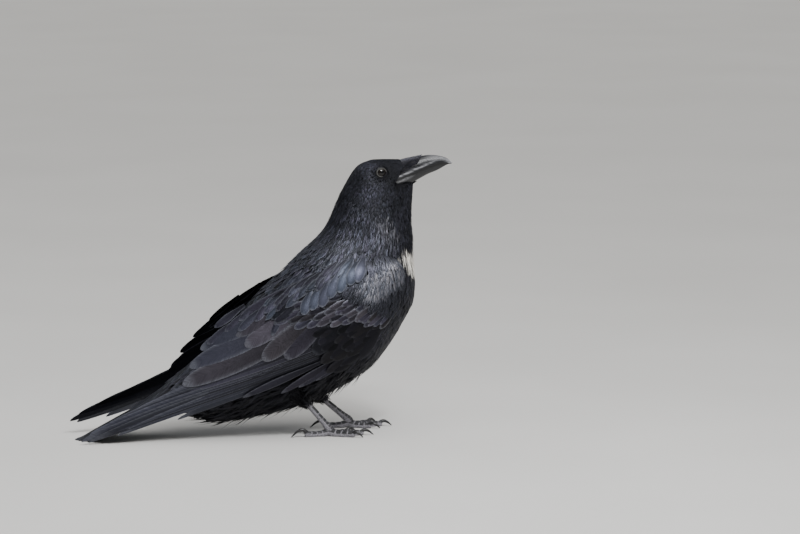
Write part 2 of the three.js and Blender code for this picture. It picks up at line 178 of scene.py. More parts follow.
# %% The wings' surface
# Each station: distance back from the wrist; low edge and high edge across that line;
# distance from the bird's middle at the low edge, between them, and at the high edge
WING_STATIONS = [
    (-16, 20, 25, 33, 34, 33), (0, -8, 45, 40, 47, 37), (25, -28, 55, 46, 56, 42),
    (62, -47, 65, 50, 61, 44), (123, -48, 70, 50, 61, 34), (185, -34, 75, 48, 57, 15),
    (247, -14, 63, 44, 50, 13), (308, 6, 46, 42, 44, 26), (370, 24, 44, 41, 42, 35),
    (426, 39, 45, 39, 39, 38),
]
WRIST = (153, 188)
WING_CREST_SHARE = 0.45
WING_SLOPES = {"right": math.radians(31), "left": math.radians(31 - 1.8)}
wing_line = track(WING_STATIONS)
_turns = np.linspace(0, len(WING_STATIONS) - 1, 2000)
_alongs = wing_line(_turns)[:, 0]


def wing_row(along):
    """The station row at a distance back from the wrist, in metres."""
    return wing_line(np.interp(np.asarray(along) / MM, _alongs, _turns))


def wing(side):
    """The surface of one folded wing as a function of the distance back from the wrist
    and the distance across that line: it lies on the parabola through its distances
    from the bird's middle at the low edge, the crest and the high edge."""
    slope = WING_SLOPES[side]
    hand = 1 if side == "left" else -1

    def at(along, across):
        row = wing_row(along)
        share = np.clip((across / MM - row[..., 1]) / (row[..., 2] - row[..., 1]), -0.35, 1.35)
        c = WING_CREST_SHARE
        y = (row[..., 3] * (share - c) * (share - 1) / c
             + row[..., 4] * share * (share - 1) / (c * (c - 1))
             + row[..., 5] * share * (share - c) / (1 - c))
        x = WRIST[0] * MM - along * math.cos(slope) - across * math.sin(slope)
        z = WRIST[1] * MM - along * math.sin(slope) + across * math.cos(slope)
        return np.stack([x + SHIFT, hand * y * MM, z], -1)

    return at


def wing_edges(along):
    """The low and the high edge across the wing at a distance along it, in metres."""
    row = wing_row(along)
    return row[..., 1] * MM, row[..., 2] * MM


# %% The tail's surface
TAIL_ROOT = (-18, 112)
TAIL_SLOPE = math.radians(28)
TAIL_LENGTH, TAIL_START = 246, 118
TAIL_HALVES = (26, 37)
TAIL_DROOP, TAIL_WEDGE = 7, 34


def tail_half(along):
    """Half the folded tail's width at a distance along it, in metres."""
    f = (along / MM - TAIL_START) / (TAIL_LENGTH - TAIL_START)
    return (TAIL_HALVES[0] + (TAIL_HALVES[1] - TAIL_HALVES[0]) * np.sin(np.clip(f, 0, 1) * 1.6)) * MM


def tail(along, across):
    """The tail's roof: it runs back and down at its slope, and droops with the square of
    the distance from its middle feather."""
    g = across / tail_half(along)
    x = TAIL_ROOT[0] * MM - along * math.cos(TAIL_SLOPE)
    z = TAIL_ROOT[1] * MM - along * math.sin(TAIL_SLOPE) - TAIL_DROOP * MM * g * g
    return np.stack([x + SHIFT, across + 0 * x, z], -1)


print("body from", body(0.0, 0.0).round(3), "to", body(12.0, 0.0).round(3))

# %% [markdown]
# ## Meshes from arrays
# A feather is a closed lens: a ring of points round each of its sections, from quill to
# tip. Thousands of them go into one mesh as whole arrays. Copying one feather object
# thousands of times would be simpler, but copies couldn't bend to the bird's form.

# %% Mesh helpers
def new_mesh(name, points, faces):
    """A smooth-shaded mesh object from points and a list of arrays of faces, one array
    for each number of corners."""
    points = points.reshape(-1, 3)
    loops = np.concatenate([f.ravel() for f in faces]).astype(np.int32)
    starts, first = [], 0
    for f in faces:
        starts.append(first + np.arange(len(f)) * f.shape[1])
        first += f.size
    starts = np.concatenate(starts).astype(np.int32)
    mesh = bpy.data.meshes.new(name)
    mesh.vertices.add(len(points))
    mesh.vertices.foreach_set("co", points.astype(np.float32).ravel())
    mesh.loops.add(len(loops))
    mesh.loops.foreach_set("vertex_index", loops)
    mesh.polygons.add(len(starts))
    mesh.polygons.foreach_set("loop_start", starts)
    mesh.polygons.foreach_set("use_smooth", np.ones(len(starts), bool))
    mesh.update(calc_edges=True)
    mesh.set_sharp_from_angle(angle=math.radians(60))
    piece = bpy.data.objects.new(name, mesh)
    bpy.context.collection.objects.link(piece)
    return piece


def add_uv(piece, name, uv):
    """A UV map with one place for each point."""
    mesh = piece.data
    corner = np.empty(len(mesh.loops), np.int32)
    mesh.loops.foreach_get("vertex_index", corner)
    layer = mesh.uv_layers.new(name=name)
    layer.data.foreach_set("uv", uv.reshape(-1, 2)[corner].astype(np.float32).ravel())


def add_tint(piece, tint):
    """The coat's four masks for each point: tone, hue, pale edge and white. Tone, pale edge and white also
    carry painted shade, sheen and glints.
    """
    layer = piece.data.color_attributes.new("coat", "FLOAT_COLOR", "POINT")
    layer.data.foreach_set("color", tint.reshape(-1, 4).astype(np.float32).ravel())


def tube_faces(count, rows, ring):
    """Faces of count closed tubes, each of rows rings of ring points: quads between the
    rings, and a cap over each end that faces away from the tube."""
    first = (np.arange(count) * rows * ring)[:, None, None]
    r = np.arange(rows - 1)[None, :, None] * ring
    k = np.arange(ring)[None, None, :]
    after = (k + 1) % ring
    a = first + r + k
    b = first + r + after
    quads = np.stack([a, b, b + ring, a + ring], -1).reshape(-1, 4)
    ends = np.arange(ring)
    start = (np.arange(count) * rows * ring)[:, None] + ends[::-1]
    finish = (np.arange(count) * rows * ring)[:, None] + (rows - 1) * ring + ends
    return quads, np.concatenate([start, finish])


def finish_piece(piece, material, slot_name, *replaced):
    """Gives the piece its material and its body, and hides the solids it stands for. slot_name is not used.
    """
    piece.data.materials.append(material)
    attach(piece, "root")
    if replaced:
        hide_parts(*replaced)
    print(piece.name, len(piece.data.loops) - 2 * len(piece.data.polygons), "triangles")
    return piece


# %% [markdown]
# ## Laying feathers
# A feather starts at its root and walks over the surface in short steps, always at its
# heading in the surface's own plane, so it drapes over whatever form is under it. Its
# height over the surface grows from root to tip, as roof tiles do, so that every tip
# rests on the feather behind.

# %% Walking over a surface
def slopes_of(surface, p, q, step_p, step_q):
    """The surface's point and its two slopes, from small steps each way."""
    along = (surface(p + step_p, q) - surface(p - step_p, q)) / (2 * step_p)
    across = (surface(p, q + step_q) - surface(p, q - step_q)) / (2 * step_q)
    return surface(p, q), along, across


def walk(surface, steps, outward, p, q, heading, length, stops):
    """Points, outward normals, forward directions and (p, q) places at each stop of each
    feather. A step goes cos(heading) along the surface's first direction and
    sin(heading) at a right angle to it in the surface's plane."""
    points, normals, forwards, places = [], [], [], []
    p, q = p.astype(float).copy(), q.astype(float).copy()
    for step in np.append(np.diff(stops), 0):
        point, along, across = slopes_of(surface, p, q, *steps)
        size = np.maximum(dot(along, along)[..., 0], 1e-12)
        lean = dot(along, across)[..., 0] / size
        side = across - along * lean[..., None]
        side_size = np.maximum(np.linalg.norm(side, axis=-1), 1e-9)
        forward = unit(along) * np.cos(heading)[..., None] + unit(side) * np.sin(heading)[..., None]
        points.append(point)
        normals.append(unit(np.cross(along, across)) * outward)
        forwards.append(unit(forward))
        places.append(np.stack([p, q], -1))
        sideways = np.sin(heading) / side_size * length * step
        p = p + np.cos(heading) / np.sqrt(size) * length * step - sideways * lean
        q = q + sideways
    return np.stack(points), np.stack(normals), np.stack(forwards), np.stack(places)


# %% The closed vane
def vane_ring(columns):
    """Section of a vane: across from -1 to 1 over the top and back below. Gives the
    places across and the heights as shares of the thickness, with a raised shaft."""
    top = np.linspace(-1, 1, columns)
    crown = np.sqrt(1 - top ** 2) * 0.7 + 0.3 * np.exp(-(top / 0.12) ** 2)
    crown[[0, -1]] = 0
    below = top[-2:0:-1]
    return np.concatenate([top, below]), np.concatenate([crown, -0.6 * np.sqrt(1 - below ** 2)])


def outline(s, peak, blunt, root_share=0.35):
    """A vane's width along its length as a share of its greatest width: it opens from
    root_share at the root to 1 at peak and closes towards the tip, as an ellipse where
    blunt is 2 and nearly straight to a point where blunt is 1."""
    opening = root_share + (1 - root_share) * ease(0, 1, s / peak)
    closing = np.clip((s - peak) / (1 - peak), 0, 1)
    return np.maximum(opening * (1 - closing ** 2) ** (1 / blunt), 0.04)


def lay_vanes(surface, p, q, heading, length, width, heights, peak=0.55, blunt=2.0,
              columns=3, rows=5, thick=0.0003, camber=0.16, lead=1.0, wisp=0.0, settle=None):
    """Closed vanes on a surface. surface is (function, steps, outward). heights are the
    vane's heights over the surface at root, middle and tip, and settle scales them by
    place. lead narrows the vane on the side of falling q, and wisp ruffles each centre
    line sideways."""
    function, steps, outward = surface
    count = len(p)
    full = lambda v: np.broadcast_to(np.asarray(v, float), (count,)).copy()
    heading, length, width, lead = (full(v) for v in (heading, length, width, lead))
    stops = 1 - (1 - np.linspace(0, 1, rows)) ** 1.7
    centre, normal, forward, places = walk(function, steps, outward, p, q, heading, length, stops)
    s = stops[:, None]
    h0, h1, h2 = (full(h) for h in heights)
    height = (h0 * (1 - s) * (1 - 2 * s) + h1 * 4 * s * (1 - s) + h2 * s * (2 * s - 1))
    if settle is not None:
        height = height * settle(places[..., 0], places[..., 1])
    side = np.cross(forward, normal)
    rising = np.sign(dot(side, slopes_of(function, places[..., 0], places[..., 1], *steps)[2]))[..., 0]
    u, h = vane_ring(columns)
    shape = outline(s, peak, blunt)
    half = width * shape / 2
    share = np.where(u[None, None, :] * rising[..., None] < 0, lead[None, :, None], 1.0)
    spread = u * half[..., None] * share
    drop = camber * (spread ** 2) / np.maximum(width, 1e-6)[None, :, None] * 2
    taper = np.clip(shape * 1.4, 0.3, 1)
    lift = height[..., None] + h * thick * taper[..., None] - drop
    sway = wisp * width * np.sin(s * math.pi * 1.3 + chance.uniform(0, 6.28, count)) * s
    points = (centre[..., None, :] + side[..., None, :] * (spread + sway[..., None])[..., None]
              + normal[..., None, :] * lift[..., None])
    points = points.transpose(1, 0, 2, 3)
    vane_uv = np.stack(np.broadcast_arrays(spread.transpose(1, 0, 2),
                                           (s * length).T[..., None]), -1)
    flat = np.stack(np.broadcast_arrays(u[None, None, :], 2 * s.T[..., None] - 1), -1)
    flat = np.broadcast_to(flat, points.shape[:3] + (2,))
    return {"points": points, "vane": vane_uv, "flat": flat, "p": p, "q": q, "middle": places[rows // 2],
            "s": np.broadcast_to(s.T[..., None], points.shape[:3]),
            "u": np.broadcast_to(u, points.shape[:3]), "under": np.broadcast_to(h < 0, points.shape[:3])}


PATCH = 0.0015  # half the size of a vane's patch on the baked map
# Painted shade: the share of tone a vane keeps at its root, where the vane before covers it, and on its
# underside
PAINTED_ROOT_SHADE, PAINTED_UNDER_SHADE = 0.3, 0.15  # the tone left at a vane's root and on its underside


def joined(parts):
    """Closed tubes as one set of points and faces. Each part is one tube of rows of
    rings, or an array of such tubes."""
    points, quads, caps, first = [], [], {}, 0
    for part in parts:
        tubes, rows, ring = part.reshape(-1, *part.shape[-3:]).shape[:3]
        sides, ends = tube_faces(tubes, rows, ring)
        points.append(part.reshape(-1, 3))
        quads.append(sides + first)
        caps.setdefault(ring, []).append(ends + first)
        first += tubes * rows * ring
    return np.concatenate(points), [np.concatenate(quads)] + [np.concatenate(c) for c in caps.values()]


def coat_piece(name, groups, unwrap, tints, material, slot_name, *replaced):
    """One mesh from groups of vanes. Each vane's OFBake patch lies at its root's place on
    the unwrap. tints gives each vane's four masks. The tone fades at the root and on the
    underside as painted shade, and the pale edge keeps to the rim."""
    points, faces = joined([group["points"] for group in groups])
    vane, bake, tint = [], [], []
    for group, values in zip(groups, tints):
        root = unwrap(group["p"], group["q"])[:, None, None, :]
        bake.append((root + group["flat"] * PATCH).reshape(-1, 2))
        vane.append(group["vane"].reshape(-1, 2))
        s, under = group["s"], group["under"]
        values = np.broadcast_to(values[:, None, None, :], under.shape + (4,)).copy()
        # Painted shade at the vane's root and on its underside
        values[..., 0] *= PAINTED_ROOT_SHADE + (1 - PAINTED_ROOT_SHADE) * ease(0.15, 0.8, s)
        values[..., 0] *= 1 - (1 - PAINTED_UNDER_SHADE) * under
        rim = np.maximum(np.abs(group["u"]), ease(0.75, 1.0, s))
        values[..., 2] *= ease(0.68, 1.0, rim) * (1 - under)
        tint.append(values.reshape(-1, 4))
    piece = new_mesh(name, points, faces)
    add_uv(piece, "OFBake", np.concatenate(bake))
    add_uv(piece, "vane", np.concatenate(vane))
    add_tint(piece, np.concatenate(tint))
    return finish_piece(piece, material, slot_name, *replaced)


# %% Rows of roots
LINES, CROSSES = 400, 60  # how finely a surface is measured each way


def running(rate, at):
    """The running total of a rate over places, from 0."""
    return np.concatenate([[0], np.cumsum((rate[1:] + rate[:-1]) / 2 * np.diff(at))])


def roots_on(surface, p_range, q_range, step, gap, jitter=0.35):
    """Roots in staggered rows. Rows follow one another by step metres where the surface
    is longest between them, and are thinned where it is shorter; in a row, roots are gap
    metres apart. step and gap may be functions of (p, q)."""
    function, steps, _ = surface
    measure = lambda v, p, q: v(p, q) if callable(v) else np.full(np.shape(p), float(v))
    lines = np.linspace(*p_range, LINES)
    cross = np.linspace(*q_range, CROSSES)
    grid_p, grid_q = np.meshgrid(lines, cross, indexing="ij")
    _, along, _ = slopes_of(function, grid_p, grid_q, *steps)
    wanted = np.linalg.norm(along, axis=-1) / measure(step, grid_p, grid_q)
    most = wanted.max(1)
    counted = running(most, lines)
    row_p = np.interp(np.arange(0.5, counted[-1]), counted, lines)
    spacing = (p_range[1] - p_range[0]) / max(len(row_p), 1)
    all_p, all_q = [], []
    for index, p in enumerate(row_p):
        same_p = np.full(CROSSES, p)
        _, _, across = slopes_of(function, same_p, cross, *steps)
        total = running(np.linalg.norm(across, axis=-1) / measure(gap, same_p, cross), cross)
        places = np.arange(0.25 + 0.5 * (index % 2), total[-1])
        places = places + chance.uniform(-jitter, jitter, len(places)) * 0.6
        q = np.interp(places, total, cross)
        nearest = int(np.interp(p, lines, np.arange(LINES)))
        keep = chance.uniform(0, 1, len(q)) < np.interp(q, cross, wanted[nearest] / most[nearest])
        all_p.append(p + chance.uniform(-jitter, jitter, keep.sum()) * spacing)
        all_q.append(q[keep])
    return np.concatenate(all_p), np.concatenate(all_q)


BODY_SURFACE = (body, (0.01, 0.01), -1)
WING_SURFACES = {"right": (wing("right"), (0.0005, 0.0005), -1),
                 "left": (wing("left"), (0.0005, 0.0005), 1)}
TAIL_SURFACE = (tail, (0.0005, 0.0005), -1)


def varied(count, spread):
    """Factors near one, for sizes that differ from feather to feather."""
    return 1 + chance.normal(0, spread, count).clip(-2 * spread, 2 * spread)

# %% [markdown]
# ## Finishes
# Raven plumage is black with a blue and violet gloss, and the gloss sits on barbs that
# run slantwise off each shaft. A thin-film shader would be one way. Here a mask for each
# feather picks blue, violet or brown, and a fine slanted bump breaks the gloss, because
# both survive the bake to plain textures.

# %% Node helpers
def feed(tree, socket, value):
    """Links a socket to another, or sets its value."""
    if isinstance(value, bpy.types.NodeSocket):
        tree.links.new(value, socket)
    else:
        socket.default_value = value


def add(tree, kind, inputs=(), **settings):
    """A new node with its settings and its inputs, given by name or number."""
    made = tree.nodes.new(kind)
    for key, value in settings.items():
        setattr(made, key, value)
    for key, value in dict(inputs).items():
        feed(tree, made.inputs[key], value)
    return made


def sums(tree, operation, a, b=0.0, c=0.0):
    """One step of arithmetic."""
    return add(tree, "ShaderNodeMath", {0: a, 1: b, 2: c}, operation=operation).outputs[0]


def blend_colour(tree, factor, a, b):
    """Colour a where the factor is 0, and b where it is 1."""
    made = add(tree, "ShaderNodeMix", {0: factor, 6: a, 7: b}, data_type="RGBA")
    return made.outputs[2]


def remap(tree, value, low, high, to_low=0.0, to_high=1.0):
    """The value stretched from one range to another and held inside it."""
    return add(tree, "ShaderNodeMapRange", {0: value, 1: low, 2: high, 3: to_low, 4: to_high}).outputs[0]


def group(name, inputs, outputs):
    """An empty node group with named inputs and outputs."""
    tree = bpy.data.node_groups.new(name, "ShaderNodeTree")
    for label, kind in inputs:
        tree.interface.new_socket(label, in_out="INPUT", socket_type=kind)
    for label, kind in outputs:
        tree.interface.new_socket(label, in_out="OUTPUT", socket_type=kind)
    start = tree.nodes.new("NodeGroupInput")
    end = tree.nodes.new("NodeGroupOutput")
    return tree, start.outputs, end.inputs


FLOAT, COLOUR, VECTOR = "NodeSocketFloat", "NodeSocketColor", "NodeSocketVector"


def use(tree, shared, inputs):
    """Places a shared group with its own values."""
    made = tree.nodes.new("ShaderNodeGroup")
    made.node_tree = shared
    for key, value in inputs.items():
        feed(tree, made.inputs[key], value)
    return made.outputs


def object_place(tree):
    """Each point's own place on its piece."""
    return add(tree, "ShaderNodeTexCoord").outputs["Object"]


def mask_of(tree, name):
    """One of a piece's own values."""
    return add(tree, "ShaderNodeAttribute", attribute_name=name).outputs["Fac"]


def noise(tree, place, scale, detail=3.0, roughness=0.5):
    """Soft noise."""
    return add(tree, "ShaderNodeTexNoise", {"Vector": place, "Scale": scale, "Detail": detail,
                                            "Roughness": roughness}).outputs[0]


def cells(tree, place, scale, **settings):
    """Cells, by the distance to their middles or to their edges."""
    return add(tree, "ShaderNodeTexVoronoi", {"Vector": place, "Scale": scale}, **settings).outputs[0]


def bump(tree, height, strength, distance):
    """A normal from a height."""
    return add(tree, "ShaderNodeBump", {"Strength": strength, "Distance": distance,
                                        "Height": height}).outputs[0]


def look(tree, shader, colour, roughness, normal=None):
    """Feeds a shader what varies over its surface."""
    feed(tree, shader["Base Color"], colour)
    feed(tree, shader["Roughness"], roughness)
    if normal is not None:
        feed(tree, shader["Normal"], normal)


# %% The slanted barbs of a vane
barbs, given, result = group(
    "barbs", [("Spacing", FLOAT), ("Slant", FLOAT), ("Depth", FLOAT)],
    [("Streak", FLOAT), ("Normal", VECTOR)])
place = add(barbs, "ShaderNodeSeparateXYZ", {0: add(barbs, "ShaderNodeUVMap", uv_map="vane").outputs[0]})
outward = sums(barbs, "ABSOLUTE", place.outputs[0])
slanted = sums(barbs, "SUBTRACT", place.outputs[1], sums(barbs, "MULTIPLY", outward, given["Slant"]))
coat = add(barbs, "ShaderNodeAttribute", attribute_name="coat").outputs[0]
tone = add(barbs, "ShaderNodeSeparateColor", {0: coat}).outputs[0]
spot = add(barbs, "ShaderNodeCombineXYZ", {0: sums(barbs, "DIVIDE", slanted, given["Spacing"]),
                                           1: sums(barbs, "MULTIPLY", tone, 90.0),
                                           2: sums(barbs, "MULTIPLY", outward, 60.0)})
fine = noise(barbs, spot.outputs[0], 1.0, 2.0, 0.6)
feed(barbs, result["Streak"], fine)
feed(barbs, result["Normal"], bump(barbs, fine, given["Depth"], 0.0003))

# %% The coat's colours
coat_colour, given, result = group(
    "coat_colour", [("Black", COLOUR), ("Blue", COLOUR), ("Violet", COLOUR), ("Brown", COLOUR),
                    ("Pale", COLOUR), ("White", COLOUR), ("Streak", FLOAT), ("Contrast", FLOAT)],
    [("Color", COLOUR), ("Dark", FLOAT)])
# The coat mask's alpha is the white, which also carries painted glints
coat = add(coat_colour, "ShaderNodeAttribute", attribute_name="coat")  # its alpha holds the white
mask = add(coat_colour, "ShaderNodeSeparateColor", {0: coat.outputs[0]})
hue = mask.outputs[1]
cool = blend_colour(coat_colour, remap(coat_colour, hue, 0.1, 0.55), given["Blue"], given["Violet"])
warm = blend_colour(coat_colour, remap(coat_colour, hue, 0.55, 0.95), cool, given["Brown"])
swing = sums(coat_colour, "MULTIPLY", sums(coat_colour, "SUBTRACT", given["Streak"], 0.5), given["Contrast"])
streaked = sums(coat_colour, "MULTIPLY", mask.outputs[0], sums(coat_colour, "ADD", 1.0, swing))
body_colour = blend_colour(coat_colour, streaked, given["Black"], warm)
fray = remap(coat_colour, given["Streak"], 0.3, 0.7, 0.3, 1.3)
frayed = sums(coat_colour, "MULTIPLY", mask.outputs[2], fray)
edged = blend_colour(coat_colour, frayed, body_colour, given["Pale"])
final = blend_colour(coat_colour, coat.outputs[3], edged, given["White"])
feed(coat_colour, result["Color"], final)
feed(coat_colour, result["Dark"], sums(coat_colour, "SUBTRACT", 1.0, coat.outputs[3]))


def material(name):
    """A new material and its tree, with a Principled shader wired to the output."""
    made = bpy.data.materials.new(name)
    made.use_nodes = True
    made.node_tree.nodes.clear()
    shader = made.node_tree.nodes.new("ShaderNodeBsdfPrincipled")
    end = made.node_tree.nodes.new("ShaderNodeOutputMaterial")
    made.node_tree.links.new(shader.outputs[0], end.inputs[0])
    return made, made.node_tree, shader.inputs


def plumage(name, spacing, slant, depth, contrast, rough, gloss, level):
    """Feathers: coat colours over slanted barbs, rougher where a barb stands up. level is
    how strongly the horn of the barbs reflects at a slant."""
    made, tree, shader = material(name)
    vane = use(tree, barbs, {"Spacing": spacing, "Slant": slant, "Depth": depth})
    # White colours the white feathers and the painted glints, Pale the pale edges and the painted wrist sheen
    colour = use(tree, coat_colour, {
        "Black": (0.0032, 0.0034, 0.0046, 1), "Blue": (0.086, 0.1, 0.138, 1),
        "Violet": (0.092, 0.083, 0.124, 1), "Brown": (0.1, 0.089, 0.091, 1),
        "Pale": (0.22, 0.23, 0.27, 1), "White": (0.78, 0.75, 0.69, 1), "Streak": vane["Streak"],
        "Contrast": contrast})
    look(tree, shader, colour["Color"], remap(tree, vane["Streak"], 0.3, 0.7, rough - 0.06, rough + 0.1),
         vane["Normal"])
    feed(tree, shader["Metallic"], sums(tree, "MULTIPLY", colour["Dark"], gloss))
    shader["Specular IOR Level"].default_value = level
    return made


PLUMAGE_FACE = plumage("plumage_face", 0.0011, 3.0, 0.5, 2.2, 0.5, 0.6, 0.25)
PLUMAGE_BODY = plumage("plumage_body", 0.0018, 3.2, 0.7, 2.4, 0.44, 0.7, 0.25)
PLUMAGE_WING = plumage("plumage_wing", 0.001, 1.5, 0.45, 1.8, 0.42, 0.75, 0.3)
QUILLS = plumage("quills", 0.0009, 1.3, 0.35, 1.5, 0.4, 0.6, 0.3)

# %% Skin
SKIN, tree, shader = material("skin")
spots = noise(tree, object_place(tree), 420.0)
look(tree, shader, blend_colour(tree, spots, (0.002, 0.002, 0.003, 1), (0.005, 0.005, 0.007, 1)),
     remap(tree, spots, 0.3, 0.7, 0.6, 0.85), bump(tree, spots, 0.7, 0.0008))
shader["Specular IOR Level"].default_value = 0.12

# %% [markdown]
# ## The skin
# One closed skin carries the coat. It is the body's own loft drawn in by the coat's
# depth, joined with two thighs and the flesh under the folded wings. Joining by hand
# would need matching edge loops, so the closed forms are remeshed into one surface with
# small cells and smoothed.

# %% Closed lofts
def limb(rows, ring, count):
    """A round limb through rows x, y, z, radius in millimetres: rings at right angles to
    the smooth line through them."""
    line = track(rows)
    t = np.linspace(0, len(rows) - 1, count)
    at = line(t)[:, None, :]
    ahead = unit(line(t + 0.01)[:, :3] - line(t - 0.01)[:, :3])
    across = unit(np.cross(np.array([0, 0, 1.0]), ahead) + np.array([0, 1e-9, 0]))
    above = np.cross(ahead, across)
    turn = np.linspace(0, 2 * math.pi, ring, endpoint=False)[None, :, None]
    around = above[:, None] * np.cos(turn) - across[:, None] * np.sin(turn)
    return to_frame(at[..., :3] + at[..., 3:4] * around)


# Millimetres from the feathers to the skin at each station.
COAT_DEPTH = track(np.c_[[1, 1.4, 1.7, 2.1, 3.2, 4.6, 6, 6.5, 7, 7, 7.5, 7.5, 6]])


GAPE = (153.5, 299.2)  # where the line round the bare horn starts: x and z


def bare_horn(points):
    """1 where the bill's bare horn shows: ahead of a line that rises forwards from the
    gape, and above the lower mandible's keel."""
    x, _, z = np.moveaxis(to_bird(points), -1, 0)
    ahead = x - GAPE[0] - 0.7 * np.clip(z - 308, -2, 33)
    over = z - GAPE[1] - 0.47 * np.maximum(x - 167, 0)
    return ease(-1.0, 2.0, ahead) * ease(-1.0, 1.0, over)


UNDER_HORN = 8.0  # millimetres more where the horn shows, so that no skin shows round it


def body_skin():
    """The body's loft drawn in by the coat's depth, and by more under the horn."""
    t, a = np.meshgrid(np.linspace(0, BODY_END, 110),
                       np.linspace(-math.pi, math.pi, 72, endpoint=False), indexing="ij")
    depth = COAT_DEPTH(t)[..., 0] + UNDER_HORN * bare_horn(body(t, a))
    return body(t, a, -depth * MM)


def wing_flesh(side):
    """The flesh under a folded wing: rings across the wing, whose outer half follows the
    wing's surface and whose inner half lies deep in the body."""
    surface = WING_SURFACES[side][0]
    along = np.linspace(-8, 185, 24)[:, None] * MM
    low, high = wing_edges(along)
    most = 0.9 - 0.35 * ease(20, 120, along / MM)
    share = 0.06 + (most - 0.06) * np.concatenate([np.linspace(0, 1, 14), np.linspace(1, 0, 14)])[None, :]
    points = surface(along, low + (high - low) * share)
    hand = 1 if side == "left" else -1
    height = 0.5 - 12.0 * ease(50, 180, along / MM)
    points[..., 1] += hand * height * MM
    points[:, 14:, 1] = hand * np.maximum(np.abs(points[:, 14:, 1]) - 26 * MM, 3 * MM)
    return points


FEET = {"right": {"side": -1, "ankle": (25, -25, 65), "hub": (71, -28, 10), "shown": 0.46},
        "left": {"side": 1, "ankle": (50, 25, 56), "hub": (104, 28, 10), "shown": 0.42}}


def leg_place(foot, share):
    """The point a share of the way from ankle to hub, in millimetres."""
    return [a + (b - a) * share for a, b in zip(foot["ankle"], foot["hub"])]


def thigh_rows(foot, thinner=0.0):
    """Rows of the feathered thigh, from inside the belly to where the scales begin."""
    x, y, z = foot["ankle"]
    return [[x + 6, y, z + 14, 19 - thinner], [*leg_place(foot, 0.15), 14 - thinner],
            [*leg_place(foot, foot["shown"] - 0.04), 7.5 - thinner]]


SKIN_CELL = 2.2 * MM
parts = [body_skin()]
parts += [wing_flesh(side)[:, ::(1 if side == "right" else -1)] for side in ("right", "left")]
parts += [limb(thigh_rows(foot, 3.0), 20, 10) for foot in FEET.values()]
points, faces = joined(parts)
skin = new_mesh("skin", points, faces)
remesh = skin.modifiers.new("join", "REMESH")
remesh.mode = "VOXEL"
remesh.voxel_size = SKIN_CELL
smooth = skin.modifiers.new("soften", "SMOOTH")
smooth.iterations = 4
bpy.context.view_layer.update()
evaluated = skin.evaluated_get(bpy.context.evaluated_depsgraph_get())
whole = bpy.data.meshes.new_from_object(evaluated)
skin.modifiers.clear()
skin.data = whole
whole.polygons.foreach_set("use_smooth", np.ones(len(whole.polygons), bool))
finish_piece(skin, SKIN, "plumage", "head", "neck", "trunk", "rump", "thigh_right", "thigh_left")

# %% [markdown]
# ## Eyes
# A raven's eye is a dark, wet ball set in a thin grey ring of bare lid. A flat disc
# would pass from the front, but a full ball with a slight bulge over the iris catches
# the light as a real cornea does, from every side.

# %% Eyeballs and lids
EYE_PLACE = np.array([136.5, 18.8, 320.3])
EYE_RADIUS = 7.3
EYE_AXIS = unit(np.array([0.2, 0.96, 0.06]))


def eye_frame(hand):
    """The eye's centre, its outward axis, and two directions across it."""
    flip = np.array([1, hand, 1])
    axis = EYE_AXIS * flip
    fore = unit(np.cross(axis, [0, 0, 1.0]) * -hand)
    return EYE_PLACE * flip, axis, fore, np.cross(axis, fore) * hand


def around_eye(hand, polar, turn, radius):
    """Points at polar angles from the eye's axis and turns round it, in metres."""
    centre, axis, fore, up = eye_frame(hand)
    ring = fore * np.cos(turn)[..., None] + up * np.sin(turn)[..., None]
    outwards = axis * np.cos(polar)[..., None] + ring * np.sin(polar)[..., None]
    return to_frame(centre + radius[..., None] * outwards)


def add_value(piece, name, values):
    """One number for each point, for a material to read."""
    layer = piece.data.attributes.new(name, "FLOAT", "POINT")
    layer.data.foreach_set("value", np.ascontiguousarray(values, np.float32).ravel())


EYE_WET, tree, shader = material("eye")
turned = mask_of(tree, "iris")
flecks = noise(tree, object_place(tree), 1500.0, 2.0)
iris = blend_colour(tree, flecks, (0.003, 0.002, 0.0015, 1), (0.008, 0.005, 0.003, 1))
pupil = blend_colour(tree, remap(tree, turned, 0.33, 0.38), (0.0015, 0.0015, 0.002, 1), iris)
look(tree, shader, blend_colour(tree, remap(tree, turned, 0.66, 0.78), pupil, (0.004, 0.004, 0.005, 1)),
     remap(tree, flecks, 0.2, 0.8, 0.03, 0.06))
shader["Specular IOR Level"].default_value = 0.3
shader["Coat Weight"].default_value = 0.1
shader["Coat Roughness"].default_value = 0.02

LID, tree, shader = material("eyelid")
pores = cells(tree, object_place(tree), 1500.0)
bare = blend_colour(tree, pores, (0.025, 0.024, 0.023, 1), (0.09, 0.087, 0.08, 1))
look(tree, shader, blend_colour(tree, mask_of(tree, "rim"), (0.006, 0.006, 0.008, 1), bare),
     remap(tree, pores, 0.0, 0.6, 0.42, 0.6), bump(tree, pores, 0.6, 0.0004))

LID_PROFILE = np.radians([41, 44, 47, 53, 68, 84, 84, 68, 46])
LID_RISE = np.array([0.0, 0.6, 0.85, 0.5, 0.3, -0.6, -2.4, -2.0, -0.9])

